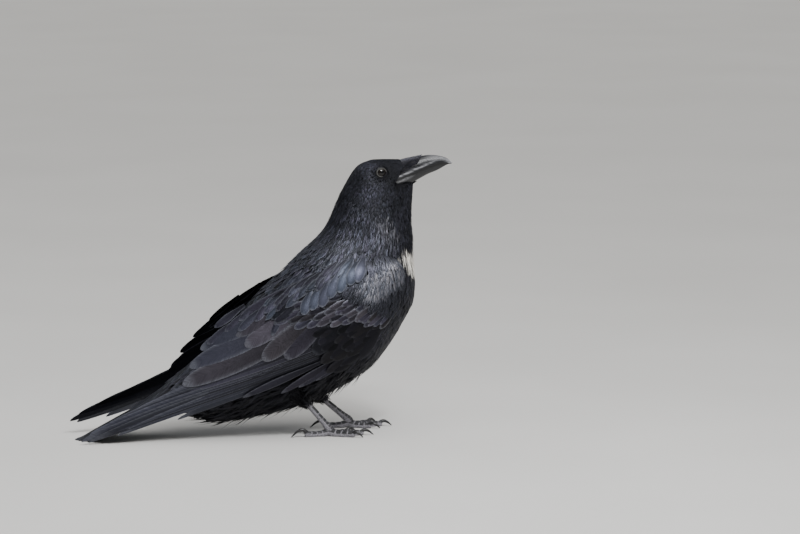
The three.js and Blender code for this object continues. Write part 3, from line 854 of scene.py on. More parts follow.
for hand, side in ((-1, "right"), (1, "left")):
    polar, turn = np.meshgrid(np.linspace(0.02, math.pi - 0.02, 26),
                              np.linspace(2 * math.pi, 0, 40, endpoint=False), indexing="ij")
    radius = EYE_RADIUS * (1 + 0.05 * np.exp(-(polar / 0.55) ** 2))
    points = around_eye(hand, polar, turn * hand, radius)
    ball = new_mesh(f"eyeball_{side}", *joined([points]))
    add_value(ball, "iris", polar)
    finish_piece(ball, EYE_WET, "eye", f"eye_{side}")

    turn, at = np.meshgrid(np.linspace(0, 2 * math.pi, 72, endpoint=False), np.arange(9), indexing="ij")
    almond = 1 + 0.13 * np.cos(2 * turn) + 0.02 * np.cos(turn)
    polar = LID_PROFILE[at] * np.where(LID_PROFILE[at] < 1.0, almond, 1)
    rise = LID_RISE[at] + 0.06 * np.sin(turn * 31) * (LID_RISE[at] > 0.55)
    points = around_eye(hand, polar, turn * hand, EYE_RADIUS + rise)
    rows, ring = turn.shape
    r, k = np.meshgrid(np.arange(rows), np.arange(ring), indexing="ij")
    a, b = r * ring + k, r * ring + (k + 1) % ring
    c, d = ((r + 1) % rows) * ring + (k + 1) % ring, ((r + 1) % rows) * ring + k
    lid = new_mesh(f"eyelid_{side}", points, [np.stack([a, d, c, b], -1).reshape(-1, 4)])
    add_value(lid, "rim", (at >= 1) * (at <= 2) * 0.9)
    finish_piece(lid, LID, "plumage")

# %% [markdown]
# ## The bill
# Two mandibles meet in a line that dips from the gape and hooks down at the tip. Each is
# a grid carried from face to tip between the meeting line and its own ridge. A sculpted
# mesh could hold more dents, but the profile lines keep the raven's deep, arched bill
# exact from the side.

# %% Mandibles
# Side profiles, x and z from the face to the tip, and half widths at the same stations.
CULMEN = [[150, 327], [167, 332.5], [184, 336], [200, 338.3], [214, 336.8], [223, 333.4], [228.6, 327.9]]
MOUTH = [[148, 306.4], [163, 312.6], [178, 317.8], [193, 323.2], [208, 327.8], [219, 329], [227.2, 327]]
KEEL = [[146, 300.6], [160, 298.8], [173, 301.2], [185, 308.0], [198, 314.8], [211, 320], [223.4, 327.1]]
BILL_HALVES = [17.2, 15.2, 12.3, 9.5, 6.9, 4.1, 0.9]
KEEL_HALVES = [16.8, 14.6, 10.6, 8.0, 5.8, 3.4, 0.8]
culmen = track([row + [half] for row, half in zip(CULMEN, BILL_HALVES)])
mouth = track(MOUTH)
keel = track([row + [half] for row, half in zip(KEEL, KEEL_HALVES)])


def mandible(ridge, t, a):
    """A mandible at t from face to tip and at angle a from its ridge, 90 degrees at the
    meeting line: cos(a) of the way from that line up to the ridge, and half width *
    sin(a) ** 0.85 to the side."""
    t, a = np.broadcast_arrays(t, a)
    crown, seam = ridge(t), mouth(t)
    share = np.cos(a)
    x = seam[..., 0] + (crown[..., 0] - seam[..., 0]) * share
    y = crown[..., 2] * np.sign(a) * np.abs(np.sin(a)) ** 0.85
    z = seam[..., 1] + (crown[..., 1] - seam[..., 1]) * share
    return to_frame(np.stack([x, y, z], -1))


def mandible_points(ridge, order, lip):
    """Closed rings of a mandible: over its outer side, then back along a slightly
    hollowed inner side. lip drops the cutting edge past the meeting line."""
    t = np.linspace(0, 6, 90)[:, None]
    a = np.linspace(-math.pi / 2, math.pi / 2, 33)[None, ::order]
    outer = mandible(ridge, t, a)
    edge = ease(0.86, 1.0, np.abs(np.sin(a)))
    outer[..., 2] += lip * MM * edge * (1 - ease(5.2, 6, t))
    inner_share = np.linspace(1, -1, 9)[None, 1:-1]
    inner = (outer[:, -1:] * (1 + inner_share[..., None]) / 2
             + outer[:, :1] * (1 - inner_share[..., None]) / 2)
    inner[..., 2] -= np.sign(lip) * 0.6 * MM * (1 - inner_share ** 2) * (1 - ease(4, 6, t))
    return np.concatenate([outer, inner], 1)


HORN, tree, shader = material("horn")
spot = object_place(tree)
grain = add(tree, "ShaderNodeMapping", {"Vector": spot, "Rotation": (0, math.radians(17), 0),
                                        "Scale": (70, 900, 900)}).outputs[0]
streaks = noise(tree, grain, 1.0, 5.0, 0.65)
clouds = noise(tree, spot, 90.0, 2.0)
horn = blend_colour(tree, remap(tree, streaks, 0.35, 0.72), (0.004, 0.0043, 0.0052, 1),
                    (0.016, 0.017, 0.02, 1))
# Pale horn: real wear at the gape, and painted highlights along the cutting edge, on the arch and at the tip
wear_and_highlight = sums(tree, "MULTIPLY", mask_of(tree, "wear_and_highlight"), remap(tree, streaks, 0.3, 0.62))
horn_wear_and_highlight = blend_colour(tree, wear_and_highlight, horn, (0.38, 0.38, 0.4, 1))
# The seam mask paints shade nearly black along the mouth line
look(tree, shader, blend_colour(tree, mask_of(tree, "seam"), horn_wear_and_highlight, (0.0015, 0.0015, 0.002, 1)),
     remap(tree, sums(tree, "ADD", streaks, clouds), 0.7, 1.3, 0.27, 0.46), bump(tree, streaks, 0.35, 0.0004))
shader["Specular IOR Level"].default_value = 0.45


def horn_wear_highlight_and_shade(points):
    """How pale the horn is, most in a band over the meeting line near the gape, which is wear
    with a painted highlight along the cutting edge; in the folds of the gape, which is wear;
    and as a painted highlight on the arch and at the tip. And painted shade along the meeting line."""
    x, _, z = np.moveaxis(to_bird(points), -1, 0)
    t = np.interp(x, [row[0] for row in MOUTH], np.arange(7))
    over = z - mouth(t)[..., 1]
    # Worn horn over the meeting line, with a painted highlight along the cutting edge
    band = np.exp(-((over - 2.6 - 0.03 * (x - 160)) / 1.0) ** 2)
    band = band * ease(150, 162, x) * (1 - 0.8 * ease(188, 216, x))
    fold = np.exp(-((over + 3.4) / 2.4) ** 2) * (1 - ease(168, 184, x)) * 0.6
    # Painted highlights at the tip and on the arch of the upper mandible
    tip = ease(216, 226, x) * ease(0.0, 1.0, over) * 0.8
    share = over / np.maximum(culmen(t)[..., 1] - mouth(t)[..., 1], 1.0)
    ridge = ease(188, 212, x) * ease(0.3, 0.75, share) * 0.5
    # Painted shade in the groove along the meeting line
    seam = 0.9 * np.exp(-((over + 1.1) / 1.4) ** 2) * (1 - ease(214, 224, x))
    return np.maximum.reduce([band, fold, tip, ridge]), seam


for name, node, ridge, order, lip in (("bill_top", "bill_upper", culmen, -1, -0.9),
                                      ("bill_bottom", "bill_lower", keel, 1, 0.1)):
    points = mandible_points(ridge, order, lip)
    horn_piece = new_mesh(name, *joined([points]))
    # The first mask is wear with painted highlights, the second is painted shade along the mouth line
    for label, values in zip(("wear_and_highlight", "seam"), horn_wear_highlight_and_shade(points)):
        add_value(horn_piece, label, values)
    finish_piece(horn_piece, HORN, "bill", node)

# %% [markdown]
# ## The coat of the head and neck
# Head feathers are tiny and lie like velvet. They lengthen down the nape, and on the
# throat they become long pointed hackles. One field of lengths over the body's surface
# sets them all, so that no border shows between head and neck.

# %% Head and neck
def unwrap_body(t, a):
    """The body's surface laid flat: angle across and station along, inside the square."""
    return np.stack([0.5 + a / (2 * math.pi) * 0.97, 0.02 + t / BODY_END * 0.96], -1)


def unwrap_wing(p, q):
    """The wing's surface laid flat."""
    return np.stack([0.05 + (p / MM + 30) / 480, 0.1 + (q / MM + 60) / 480], -1)


def masks(count, tone, hue, edge=0.0, white_and_glint=0.0):
    """Four masks for each vane."""
    columns = [np.broadcast_to(np.asarray(v, float), (count,)).clip(0, 1) for v in (tone, hue, edge, white_and_glint)]
    return np.stack(columns, -1)


def below(a):
    """How far round towards the throat and belly an angle lies: 0 on the back, 1 below."""
    return np.abs(a) / math.pi


LENGTHS_TOP = track(np.c_[[3, 4, 5, 8, 12, 17, 24, 28, 30, 32, 36, 40, 40]])
LENGTHS_LOW = track(np.c_[[4.5, 8, 12, 16, 21, 27, 26, 27, 29, 32, 40, 40, 34]])


def coat_length(t, a):
    """Feather length in metres over the body: one line of lengths for the back and one
    for the underside, mixed by how far round the place is."""
    mixed = ease(0.35, 0.85, below(a))
    return (LENGTHS_TOP(t)[..., 0] * (1 - mixed) + LENGTHS_LOW(t)[..., 0] * mixed) * MM


def from_eye(points):
    """The distance from the nearer eye's outer face, in millimetres."""
    centre, axis, _, _ = eye_frame(1)
    spot = centre + axis * 6
    x, y, z = np.moveaxis(to_bird(points), -1, 0)
    return np.linalg.norm(np.stack([x, np.abs(y), z], -1) - spot, axis=-1)


def thinned(group, keep):
    """The vanes of a group that are kept."""
    return {key: value[keep] for key, value in group.items()}


def on_bill(points):
    """True where a point lies over the bill's bare horn, ahead of the face feathers."""
    return bare_horn(points) > 0.5


LORE = (150, 318)  # x and z of the dull place between bill and eye

t, a = roots_on(BODY_SURFACE, (0.0, 3.75), (-math.pi, math.pi),
                lambda t, a: coat_length(t, a) * 0.26, lambda t, a: coat_length(t, a) * 0.14 + 0.35 * MM)
near = from_eye(body(t, a))
length = coat_length(t, a) * varied(len(t), 0.15) * np.clip((near - 5.5) / 9, 0.35, 1)
heading = np.sign(a) * 0.12 + chance.normal(0, 0.12, len(t))
face = lay_vanes(BODY_SURFACE, t, a, heading, length, length * 0.26 + 0.45 * MM,
                 (-0.3 * length - 0.3 * MM, -0.02 * length, chance.uniform(0.0, 0.3, len(t)) * MM),
                 peak=0.35, blunt=0.9, rows=5, thick=0.00015)
vane_near = from_eye(face["points"]).min((1, 2))
keep = (vane_near > 7.2) & ~on_bill(face["points"][:, 2:]).any((1, 2))
face = thinned(face, keep)
t, a = face["p"], face["q"]
x, _, z = to_bird(body(t, a)).T
lore = 1 - ease(6, 17, np.hypot(x - LORE[0], z - LORE[1]))
luck = chance.uniform(0, 1, len(t))
# Painted highlights: random feathers in two patches behind the eye get a brighter tone
painted_glints_near_eye = (np.exp(-((x - 122) / 12) ** 2 - ((z - 300) / 8) ** 2)
          + np.exp(-((x - 126) / 9) ** 2 - ((z - 329) / 5) ** 2))
face_tint = masks(len(t), (0.01 + 0.24 * luck ** 2) * (1 - 0.9 * lore) + 0.45 * luck * painted_glints_near_eye,
                  0.2 + 0.35 * chance.uniform(0, 1, len(t)), 0.1)
coat_piece("coat_head", [face], unwrap_body, [face_tint], PLUMAGE_FACE, "plumage")

# %% Neck hackles
NECK_SHEEN_CENTRE = (3.75, 1.85)  # station and angle where the throat's sides shine most


def painted_neck_sheen(t, a):
    """How much painted sheen the hackles get: a soft patch on each side of the lower throat."""
    return np.exp(-((t - NECK_SHEEN_CENTRE[0]) / 0.55) ** 2 - ((np.abs(a) - NECK_SHEEN_CENTRE[1]) / 0.36) ** 2)


def white_patch(made):
    """How white each vane is, from where its middle lies: white on the upper breast in a
    patch that is widest at its top, with a soft, uneven border."""
    t, a = made["middle"].T
    half = 0.95 - 0.5 * ease(4.9, 5.9, t)
    across = math.pi - np.abs((a + math.pi) % (2 * math.pi) - math.pi)
    away = np.hypot((t - 5.25) / 0.5, across / half)
    away = away + chance.normal(0, 0.08, len(t))
    return (1 - ease(0.82, 1.08, away)) * chance.uniform(0.7, 1.0, len(t))


t, a = roots_on(BODY_SURFACE, (3.45, 5.75), (-math.pi, math.pi),
                lambda t, a: coat_length(t, a) * 0.18 + 0.5 * MM, 1.75 * MM)
count = len(t)
length = coat_length(t, a) * varied(count, 0.16) * 1.2
neck = lay_vanes(BODY_SURFACE, t, a, np.sign(a) * 0.1 + chance.normal(0, 0.13, count), length,
                 (1.7 + 1.1 * ease(4.3, 5.7, t)) * MM * varied(count, 0.15),
                 (-3.6 * MM, -0.6 * MM, chance.uniform(0.1, 1.1, count) * MM),
                 peak=0.4, blunt=0.95, rows=5, thick=0.0002, wisp=0.25)
# Painted sheen: random hackles get a brighter tone on the lower neck, brighter still and a little white in
# the patch on each side of the throat
gloss = painted_neck_sheen(t, a)
shine = chance.uniform(0, 1, count)
neck_tint = masks(count, 0.02 + 0.85 * shine ** 3 * ease(3.5, 4.4, t) + 0.6 * gloss * shine,
                  0.15 + 0.4 * chance.uniform(0, 1, count), 0.15 + 0.2 * ease(4.2, 5.2, t),
                  np.maximum(0.11 * gloss * shine ** 1.5, white_patch(neck)))
coat_piece("coat_neck", [neck], unwrap_body, [neck_tint], PLUMAGE_BODY, "plumage")

# %% Throat hackles, which hang in points from the chin to the white breast feathers
t, a = roots_on(BODY_SURFACE, (0.0, 4.7), (2.15, 2 * math.pi - 2.15),
                lambda t, a: coat_length(t, np.abs(a)) * 0.2 + 0.4 * MM,
                lambda t, a: 1.2 * MM + 0.9 * MM * ease(0, 3, t))
a = np.where(a > math.pi, a - 2 * math.pi, a)
count = len(t)
length = coat_length(t, a) * varied(count, 0.2) * 1.12
throat = lay_vanes(BODY_SURFACE, t, a, chance.normal(0, 0.12, count), length,
                   (1.2 + 1.2 * ease(0, 3, t)) * MM * varied(count, 0.2),
                   (-1.0 * MM - 0.1 * length, 0.3 * MM,
                    chance.uniform(0.2, 2.6, count) * ease(0, 4, t) * MM + 0.3 * MM),
                   peak=0.4, blunt=0.9, rows=5, thick=0.00022, wisp=0.35)
keep = ~on_bill(throat["points"][:, 2:]).any((1, 2))
throat = thinned(throat, keep)
count = int(keep.sum())
throat_tint = masks(count, 0.03 + 0.35 * chance.uniform(0, 1, count) ** 2, 0.4, 0.15, white_patch(throat))
coat_piece("coat_throat", [throat], unwrap_body, [throat_tint], PLUMAGE_BODY, "plumage")

# %% [markdown]
# ## The coat of the body
# The mantle's feathers are long and pointed and reach over the wings. The breast and
# belly are looser, and over the thighs their ends hang in ragged tufts. Each tract has
# its own sizes, as a real bird's feather tracts do.

# %% Mantle, breast and belly
def tract(t_range, a_range, spacing, gap, stretch, wide, heights, heading=0.0, **shape):
    """Vanes over a stretch of the body on both sides. stretch scales the field of lengths
    and wide is the width as a share of the length."""
    t, a = roots_on(BODY_SURFACE, t_range, a_range, spacing, gap)
    left_t, left_a = roots_on(BODY_SURFACE, t_range, (-a_range[1], -a_range[0]), spacing, gap)
    t, a = np.concatenate([t, left_t]), np.concatenate([a, left_a])
    count = len(t)
    length = coat_length(t, a) * stretch * varied(count, 0.12)
    turn = np.sign(a) * heading + chance.normal(0, 0.1, count)
    low, middle, high = (h * MM for h in heights)
    tip = high * chance.uniform(0.3, 1.6, count)
    return lay_vanes(BODY_SURFACE, t, a, turn, length, length * wide * varied(count, 0.1),
                     (low, middle, tip), **shape)


def shades(group, tone, hue, edge, white_and_glint=0.0):
    """Masks with a little chance in them: tone and hue are ranges."""
    count = len(group["p"])
    return masks(count, chance.uniform(*tone, count), chance.uniform(*hue, count), edge, white_and_glint)


mantle = tract((5.2, 9.4), (0, 1.55), 7.4 * MM, 5.6 * MM, 1.05, 0.31, (-4.5, -0.5, 0.9), 0.12,
               peak=0.45, blunt=1.15, columns=5, rows=7, thick=0.0004, wisp=0.12)
coat_piece("coat_mantle", [mantle], unwrap_body, [shades(mantle, (0.0, 0.55), (0.05, 0.5), 0.35)],
           PLUMAGE_BODY, "plumage")

breast = tract((4.75, 8.0), (1.3, math.pi), 4.6 * MM, 4.2 * MM, 0.95, 0.25, (-5.0, -0.5, 0.8), 0.1,
               peak=0.5, blunt=1.2, columns=3, rows=6, thick=0.00035, wisp=0.2)
# Painted shade: breast feathers get a lower tone than the mantle's, so the underside stays dark
breast_tint = shades(breast, (0.0, 0.22), (0.2, 0.6), 0.1)
breast_tint[:, 3] = white_patch(breast)
coat_piece("coat_breast", [breast], unwrap_body, [breast_tint], PLUMAGE_BODY, "plumage")

belly = tract((7.6, 10.9), (1.25, math.pi), 5.0 * MM, 4.2 * MM, 1.0, 0.17, (-5.5, -0.2, 2.0), 0.05,
              peak=0.4, blunt=0.95, columns=3, rows=6, thick=0.00035, wisp=0.5)
ragged = tract((8.0, 10.9), (1.9, math.pi), 11.0 * MM, 6.0 * MM, 1.0, 0.13, (-4.0, 2.0, 7.5), 0.0,
               peak=0.35, blunt=0.9, columns=3, rows=7, thick=0.0004, wisp=0.8)
# The belly and its ragged tufts get the lowest tone: painted shade under the body
coat_piece("coat_belly", [belly, ragged], unwrap_body,
           [shades(belly, (0.0, 0.15), (0.3, 0.8), 0.05), shades(ragged, (0.0, 0.1), (0.3, 0.8), 0.05)],
           PLUMAGE_BODY, "plumage")

# %% Rump, and the coverts over and under the tail's root
rump = tract((8.6, 11.0), (0, 1.6), 7.0 * MM, 5.6 * MM, 0.9, 0.3, (-4.0, -0.3, 0.8), 0.03,
             peak=0.55, blunt=1.5, columns=5, rows=7, thick=0.0004, wisp=0.1)


def tail_coverts(rows, reach, over, spread):
    """Coverts on the tail's roof, or under it where over is -1: rows of (along, height at
    the root, feathers across). The height falls to a millimetre or two at the tip."""
    along, across, root = [], [], []
    for place, height, number in rows:
        g = np.linspace(-1, 1, number)
        along.append(place * MM - np.abs(g) * 5 * MM)
        across.append(g * spread * MM)
        root.append(np.full(number, height) * (1 - 0.45 * g ** 2))
    along, across, root = np.concatenate(along), np.concatenate(across), np.concatenate(root)
    count = len(along)
    length = reach * MM * varied(count, 0.06)
    turn = across * 3.0 + chance.normal(0, 0.04, count)
    return lay_vanes((tail, (0.0005, 0.0005), -over), along, across, turn, length,
                     15 * MM * varied(count, 0.08),
                     (root * MM, root * 0.62 * MM, chance.uniform(1.2, 2.2, count) * MM),
                     peak=0.6, blunt=1.7, columns=5, rows=9, thick=0.0005, camber=0.14, wisp=0.05)


def flat_map(wide, tall):
    """An unwrap for a small tract: q across it and p up it, each over its own measure."""
    return lambda p, q: np.stack([0.5 + q / wide, 0.1 + p / tall], -1)


TAIL_MAP = flat_map(0.125, 0.5)
upper_coverts = tail_coverts([(126, 5.5, 5), (116, 7.5, 6), (106, 9.5, 7), (96, 12.0, 7), (86, 14.5, 8)],
                             44, 1, 21)
under_coverts = tail_coverts([(134, 3.5, 5), (122, 5.0, 6), (110, 7.0, 6), (98, 10.0, 7)], 46, -1, 20)
coat_piece("coat_rump", [rump], unwrap_body, [shades(rump, (0.05, 0.4), (0.1, 0.6), 0.25)],
           PLUMAGE_BODY, "plumage")
coat_piece("coat_tail_root", [upper_coverts, under_coverts], TAIL_MAP,
           [shades(upper_coverts, (0.15, 0.5), (0.1, 0.6), 0.3),
            shades(under_coverts, (0.0, 0.2), (0.3, 0.8), 0.1)], PLUMAGE_WING, "plumage")

# %% Ragged tufts over the thighs
def thigh_surface(foot):
    """The feathered thigh as a surface: p along its rows and q round it. It runs on past
    the thigh's end, so that tufts can hang over the scales."""
    line = track(thigh_rows(foot) + [[*leg_place(foot, foot["shown"] + 0.3), 6.0]])

    def at(p, q):
        row = line(p)
        ahead = unit(line(p + 0.01)[..., :3] - line(p - 0.01)[..., :3])
        across = unit(np.cross(np.array([0, 0, 1.0]), ahead))
        above = np.cross(ahead, across)
        around = above * np.cos(q)[..., None] - across * np.sin(q)[..., None]
        return to_frame(row[..., :3] + row[..., 3:4] * around)

    return at


for side, foot in FEET.items():
    surface = (thigh_surface(foot), (0.01, 0.01), 1)
    p, q = roots_on(surface, (0.2, 1.95), (-math.pi, math.pi), 2.6 * MM, 2.4 * MM)
    count = len(p)
    length = chance.uniform(10, 18, count) * MM * (1 - 0.35 * ease(1.3, 1.95, p))
    made = lay_vanes(surface, p, q, chance.normal(0, 0.22, count), length, 2.2 * MM,
                     (-2.5 * MM, 0.2 * MM, chance.uniform(-0.5, 3.0, count) * MM),
                     peak=0.4, blunt=0.9, rows=5, thick=0.0003, wisp=0.6)
    coat_piece(f"coat_thigh_{side}", [made], flat_map(7, 3),
               [masks(count, 0.12 * chance.uniform(0, 1, count), 0.5, 0.05)], PLUMAGE_BODY, "plumage")

# %% Bristles over the root of the bill, which point forwards
BILL_SURFACE = (lambda t, a: mandible(culmen, t, a), (0.01, 0.01), 1)
t = chance.uniform(0.0, 1.9, 1500)
a = chance.uniform(-1.3, 1.3, 1500)
keep = np.abs(a) < 1.34 - 0.2 * t
t, a = t[keep], a[keep]
count = len(t)
room = 191 - 4 * np.abs(a) - culmen(t)[..., 0]
length = np.minimum(chance.uniform(8, 17, count), room * chance.uniform(0.55, 1.0, count) + 2) * MM
bristles = lay_vanes(BILL_SURFACE, t, a, -np.sign(a) * 0.1 + chance.normal(0, 0.09, count), length,
                     chance.uniform(0.55, 0.95, count) * MM,
                     (0.1 * MM, 0.9 * MM, chance.uniform(0.3, 1.5, count) * MM),
                     peak=0.3, blunt=0.9, rows=5, thick=0.0003, wisp=0.5)
bristle_tint = masks(count, 0.05 + 0.5 * chance.uniform(0, 1, count) ** 3, 0.5, 0.2,
                     0.05 * chance.uniform(0, 1, count) ** 3)
CHIN_SURFACE = (lambda t, a: mandible(keel, t, a), (0.01, 0.01), -1)
t = chance.uniform(0.3, 2.3, 700)
a = chance.uniform(-0.9, 0.9, 700) * (1.15 - 0.36 * t)
count = len(t)
length = chance.uniform(5, 10, count) * MM
chin = lay_vanes(CHIN_SURFACE, t, a, chance.normal(0, 0.1, count), length,
                 chance.uniform(0.8, 1.4, count) * MM,
                 (0.1 * MM, 0.9 * MM, chance.uniform(0.2, 1.5, count) * MM),
                 peak=0.3, blunt=0.9, rows=5, thick=0.0003, wisp=0.25)
coat_piece("coat_bristles", [bristles, chin], flat_map(3.2, 3),
           [bristle_tint, masks(count, 0.05 * chance.uniform(0, 1, count), 0.5, 0.1)],
           PLUMAGE_FACE, "plumage", "nasal_bristles")

# %% [markdown]
# ## The folded wings
# A folded wing is a stack. The primaries lie lowest, each under the next one in, then
# the secondaries, and three broad tertials cover them like a lid. Coverts overlap their
# roots in rows that shrink towards the wrist. Every quill is placed from root to tip, so
# the stack shows the same slim steps along its lower edge as a real wing.

# %% Feathers from root to tip
def quill(rows):
    """Roots, headings and lengths on the wing from rows of root along, root across, tip
    along, tip across, in millimetres."""
    rows = np.asarray(rows, float)
    root, tip = rows[:, 0:2] * MM, rows[:, 2:4] * MM
    run = tip - root
    return root[:, 0], root[:, 1], np.arctan2(run[:, 1], run[:, 0]), np.hypot(run[:, 0], run[:, 1])


def settled(p, q):
    """Lowers heights near the wing's upper edge, where the pile of feathers runs out."""
    _, high = wing_edges(p)
    return 0.25 + 0.75 * ease(0, 22 * MM, high - q)


# Where the tips of the primaries and secondaries lie: (along, across), the lowest first.
PRIMARY_TIPS = [(313, 5), (384, 28), (418, 38.5), (425, 42), (413, 43), (391, 42), (363, 38.5),
                (338, 35), (322, 32), (309, 30)]
SECONDARY_TIPS = [(300, 28), (295, 30), (291, 32), (286, 34), (280, 37), (274, 40)]
# Root along, root across, tip along and tip across.
TERTIALS = [(112, 12, 286, 34), (116, 30, 268, 47), (118, 46, 246, 57)]
GREATER_COVERTS = [(78, 62, 190, 60), (82, 50, 200, 48), (88, 40, 197, 33), (88, 26, 188, 11),
                   (84, 16, 164, 0), (74, 6, 132, -14), (62, -4, 117, -28), (48, -14, 104, -44),
                   (36, -22, 88, -50)]
PRIMARY_COVERTS = [(120, -30, 232, -15), (100, -36, 190, -37), (88, -40, 168, -42), (76, -42, 146, -46)]
REAR_SCAPULARS = [(118, 56, 156, 34), (114, 64, 152, 47), (146, 60, 188, 47), (160, 66, 203, 55),
                  (186, 62, 231, 52), (140, 70, 178, 60), (128, 66, 168, 50), (170, 72, 212, 62)]
BLUE_SCAPULARS = [(94 - 12.6 * k, 49, 117 - 12.8 * k, 30.5) for k in range(7)]


def flight_feathers(side):
    """Primaries, secondaries and tertials of one wing, from the lowest upwards."""
    surface = WING_SURFACES[side]
    stack = [(66 + 3 * k, -45 + 3 * k, *tip) for k, tip in enumerate(PRIMARY_TIPS)]
    stack += [(95 + 3 * k, -17 + 5 * k, *tip) for k, tip in enumerate(SECONDARY_TIPS)]
    p, q, heading, length = quill(stack)
    order = np.arange(len(stack))
    primaries = np.clip((10 - order) / 10, 0, 1)
    heights = [(0.3 + rise * order) * MM for rise in (0.24, 0.22, 0.14)]
    long = lay_vanes(surface, p, q, heading, length, (25 - 5 * primaries) * MM, heights, peak=0.6,
                     blunt=2.2, columns=9, rows=24, thick=0.00035, camber=0.05, lead=0.32, settle=settled)
    p, q, heading, length = quill(TERTIALS)
    heights = np.array([[3.6, 4.4, 5.2], [4.4, 5.0, 5.6], [3.4, 4.0, 4.6]]) * MM
    lid = lay_vanes(surface, p, q, heading, length, np.array([29, 28, 24]) * MM, heights, peak=0.62,
                    blunt=2.2, columns=11, rows=24, thick=0.0005, camber=0.1, lead=0.9, settle=settled)
    shade_low = masks(len(stack), 0.3 + 0.12 * np.sin(order * 2.1) + 0.1 * (order > 9),
                      0.45 - 0.2 * primaries, 0.3)
    shade_top = masks(3, [0.45, 0.5, 0.5], [0.75, 0.35, 0.3], 0.5)
    return [long, lid], [shade_low, shade_top]


def wing_rows(side, along, across, step, gap, size, wide, heading, heights, keep, **shape):
    """Small coverts in staggered rows over a stretch of the wing, where keep is true.
    step, gap, size, wide and heading are numbers, or functions of the place; all of it is
    in millimetres and radians."""
    surface = WING_SURFACES[side]

    def at(rule, p, q):
        return rule(p / MM, q / MM) if callable(rule) else rule + 0 * p

    p, q = roots_on(surface, np.array(along) * MM, np.array(across) * MM,
                    lambda p, q: at(step, p, q) * MM, lambda p, q: at(gap, p, q) * MM, 0.25)
    low, high = wing_edges(p)
    inside = keep(p / MM, q / MM) & (q > low + 1 * MM) & (q < high - 1 * MM)
    p, q = p[inside], q[inside]
    count = len(p)
    length = at(size, p, q) * MM * varied(count, 0.1)
    turn = at(heading, p, q) + chance.normal(0, 0.06, count)
    width = at(wide, p, q) * MM * varied(count, 0.06)
    low_h, mid_h, tip_h = (h * MM for h in heights)
    return lay_vanes(surface, p, q, turn, length, width,
                     (low_h, mid_h, tip_h * chance.uniform(0.94, 1.06, count)), settle=settled, **shape)


def lesser_edge(across):
    """Where the tiny coverts of the wrist give way to the median coverts."""
    return 22 + 0.62 * (across + 30)


def covert_feathers(side):
    """Coverts of one wing, from the greater ones up to the tiny ones at the wrist."""
    surface = WING_SURFACES[side]
    groups, tints = [], []

    def lay(places, widths, heights, tone, hue, edge, **shape):
        p, q, heading, length = quill(places)
        groups.append(lay_vanes(surface, p, q, heading, length, np.asarray(widths) * MM,
                                tuple(np.asarray(h, float) * MM for h in heights), settle=settled, **shape))
        count = len(p)
        tints.append(masks(count, np.asarray(tone) + chance.uniform(-0.06, 0.06, count),
                           np.asarray(hue) + chance.uniform(-0.08, 0.08, count), edge))

    lay(PRIMARY_COVERTS, [13, 13, 13, 12], (2.6, 3.6, 2.6), 0.3, 0.5, 0.3,
        peak=0.6, blunt=2.0, columns=7, rows=12, thick=0.0004, camber=0.06, lead=0.6)
    order = np.arange(len(GREATER_COVERTS))
    lay(GREATER_COVERTS, [20, 22, 24, 23, 22, 22, 22, 20, 18], (4.2, 5.8 + 0.05 * order, 5.6 - 0.12 * order),
        [0.4, 0.45, 0.75, 0.5, 0.3, 0.06, 0.08, 0.08, 0.06], [0.6, 0.7, 0.8, 0.75, 0.6, 0.4, 0.5, 0.5, 0.5],
        np.array([0.4, 0.4, 0.45, 0.4, 0.3, 0.12, 0.08, 0.05, 0.02]),
        peak=0.68, blunt=2.3, columns=9, rows=14, thick=0.0005, camber=0.1)
    median = wing_rows(side, (6, 128), (-46, 44), lambda p, q: 7 + 0.06 * p, lambda p, q: 4.6 + 0.018 * p,
                       lambda p, q: 20 + 0.12 * p, lambda p, q: 7.0 + 0.03 * p,
                       lambda p, q: 0.1 - 0.5 * ease(60, 5, p), (5.0, 6.6, 6.9),
                       lambda p, q: (p > lesser_edge(q) - 6) & (p + 18 < 66 + 1.72 * (q + 14)) & (q < 36),
                       peak=0.6, blunt=1.9, columns=5, rows=7, thick=0.0004, camber=0.16)
    groups.append(median)
    tints.append(shades(median, (0.12, 0.65), (0.4, 0.9), 0.45))
    dark = wing_rows(side, (4, 100), (-50, 10), 12, 8.5, 34, 13, 0.05, (4.2, 6.0, 6.2),
                     lambda p, q: (p > lesser_edge(q) - 12) & (p + 18 >= 60 + 1.72 * (q + 14)) & (q < 4),
                     peak=0.6, blunt=1.6, columns=5, rows=8, thick=0.0004, camber=0.14)
    groups.append(dark)
    tints.append(shades(dark, (0.0, 0.12), (0.5, 0.9), 0.06))
    lesser = wing_rows(side, (-16, 74), (-46, 47), 3.6, lambda p, q: 1.9 + 0.012 * (p + 16),
                       lambda p, q: 11 + 0.04 * p, lambda p, q: 2.4 + 0.012 * (p + 16),
                       lambda p, q: -0.95 + 0.5 * ease(0, 60, p) + 0.3 * ease(10, -30, q), (5.2, 6.8, 7.2),
                       lambda p, q: (p < lesser_edge(q)) & (q < 42),
                       peak=0.45, blunt=1.2, columns=3, rows=5, thick=0.0003, camber=0.16)
    groups.append(lesser)
    p, q = lesser["p"] / MM, lesser["q"] / MM
    # Painted sheen: small coverts near the wrist get a brighter tone, pale edges and a little white
    painted_wrist_sheen = ease(-2, 12, q) * ease(34, 26, q) * ease(48, 30, p)
    scaly = ease(28, 34, q)
    luck = chance.uniform(0, 1, len(p))
    tints.append(masks(len(p), 0.04 + 0.16 * luck + 0.75 * (0.4 + 0.6 * luck) * painted_wrist_sheen + 0.3 * luck * scaly,
                       0.1 + 0.35 * luck, 0.2 + 0.2 * scaly + 0.5 * painted_wrist_sheen, 0.13 * luck ** 1.5 * painted_wrist_sheen))
    return groups, tints


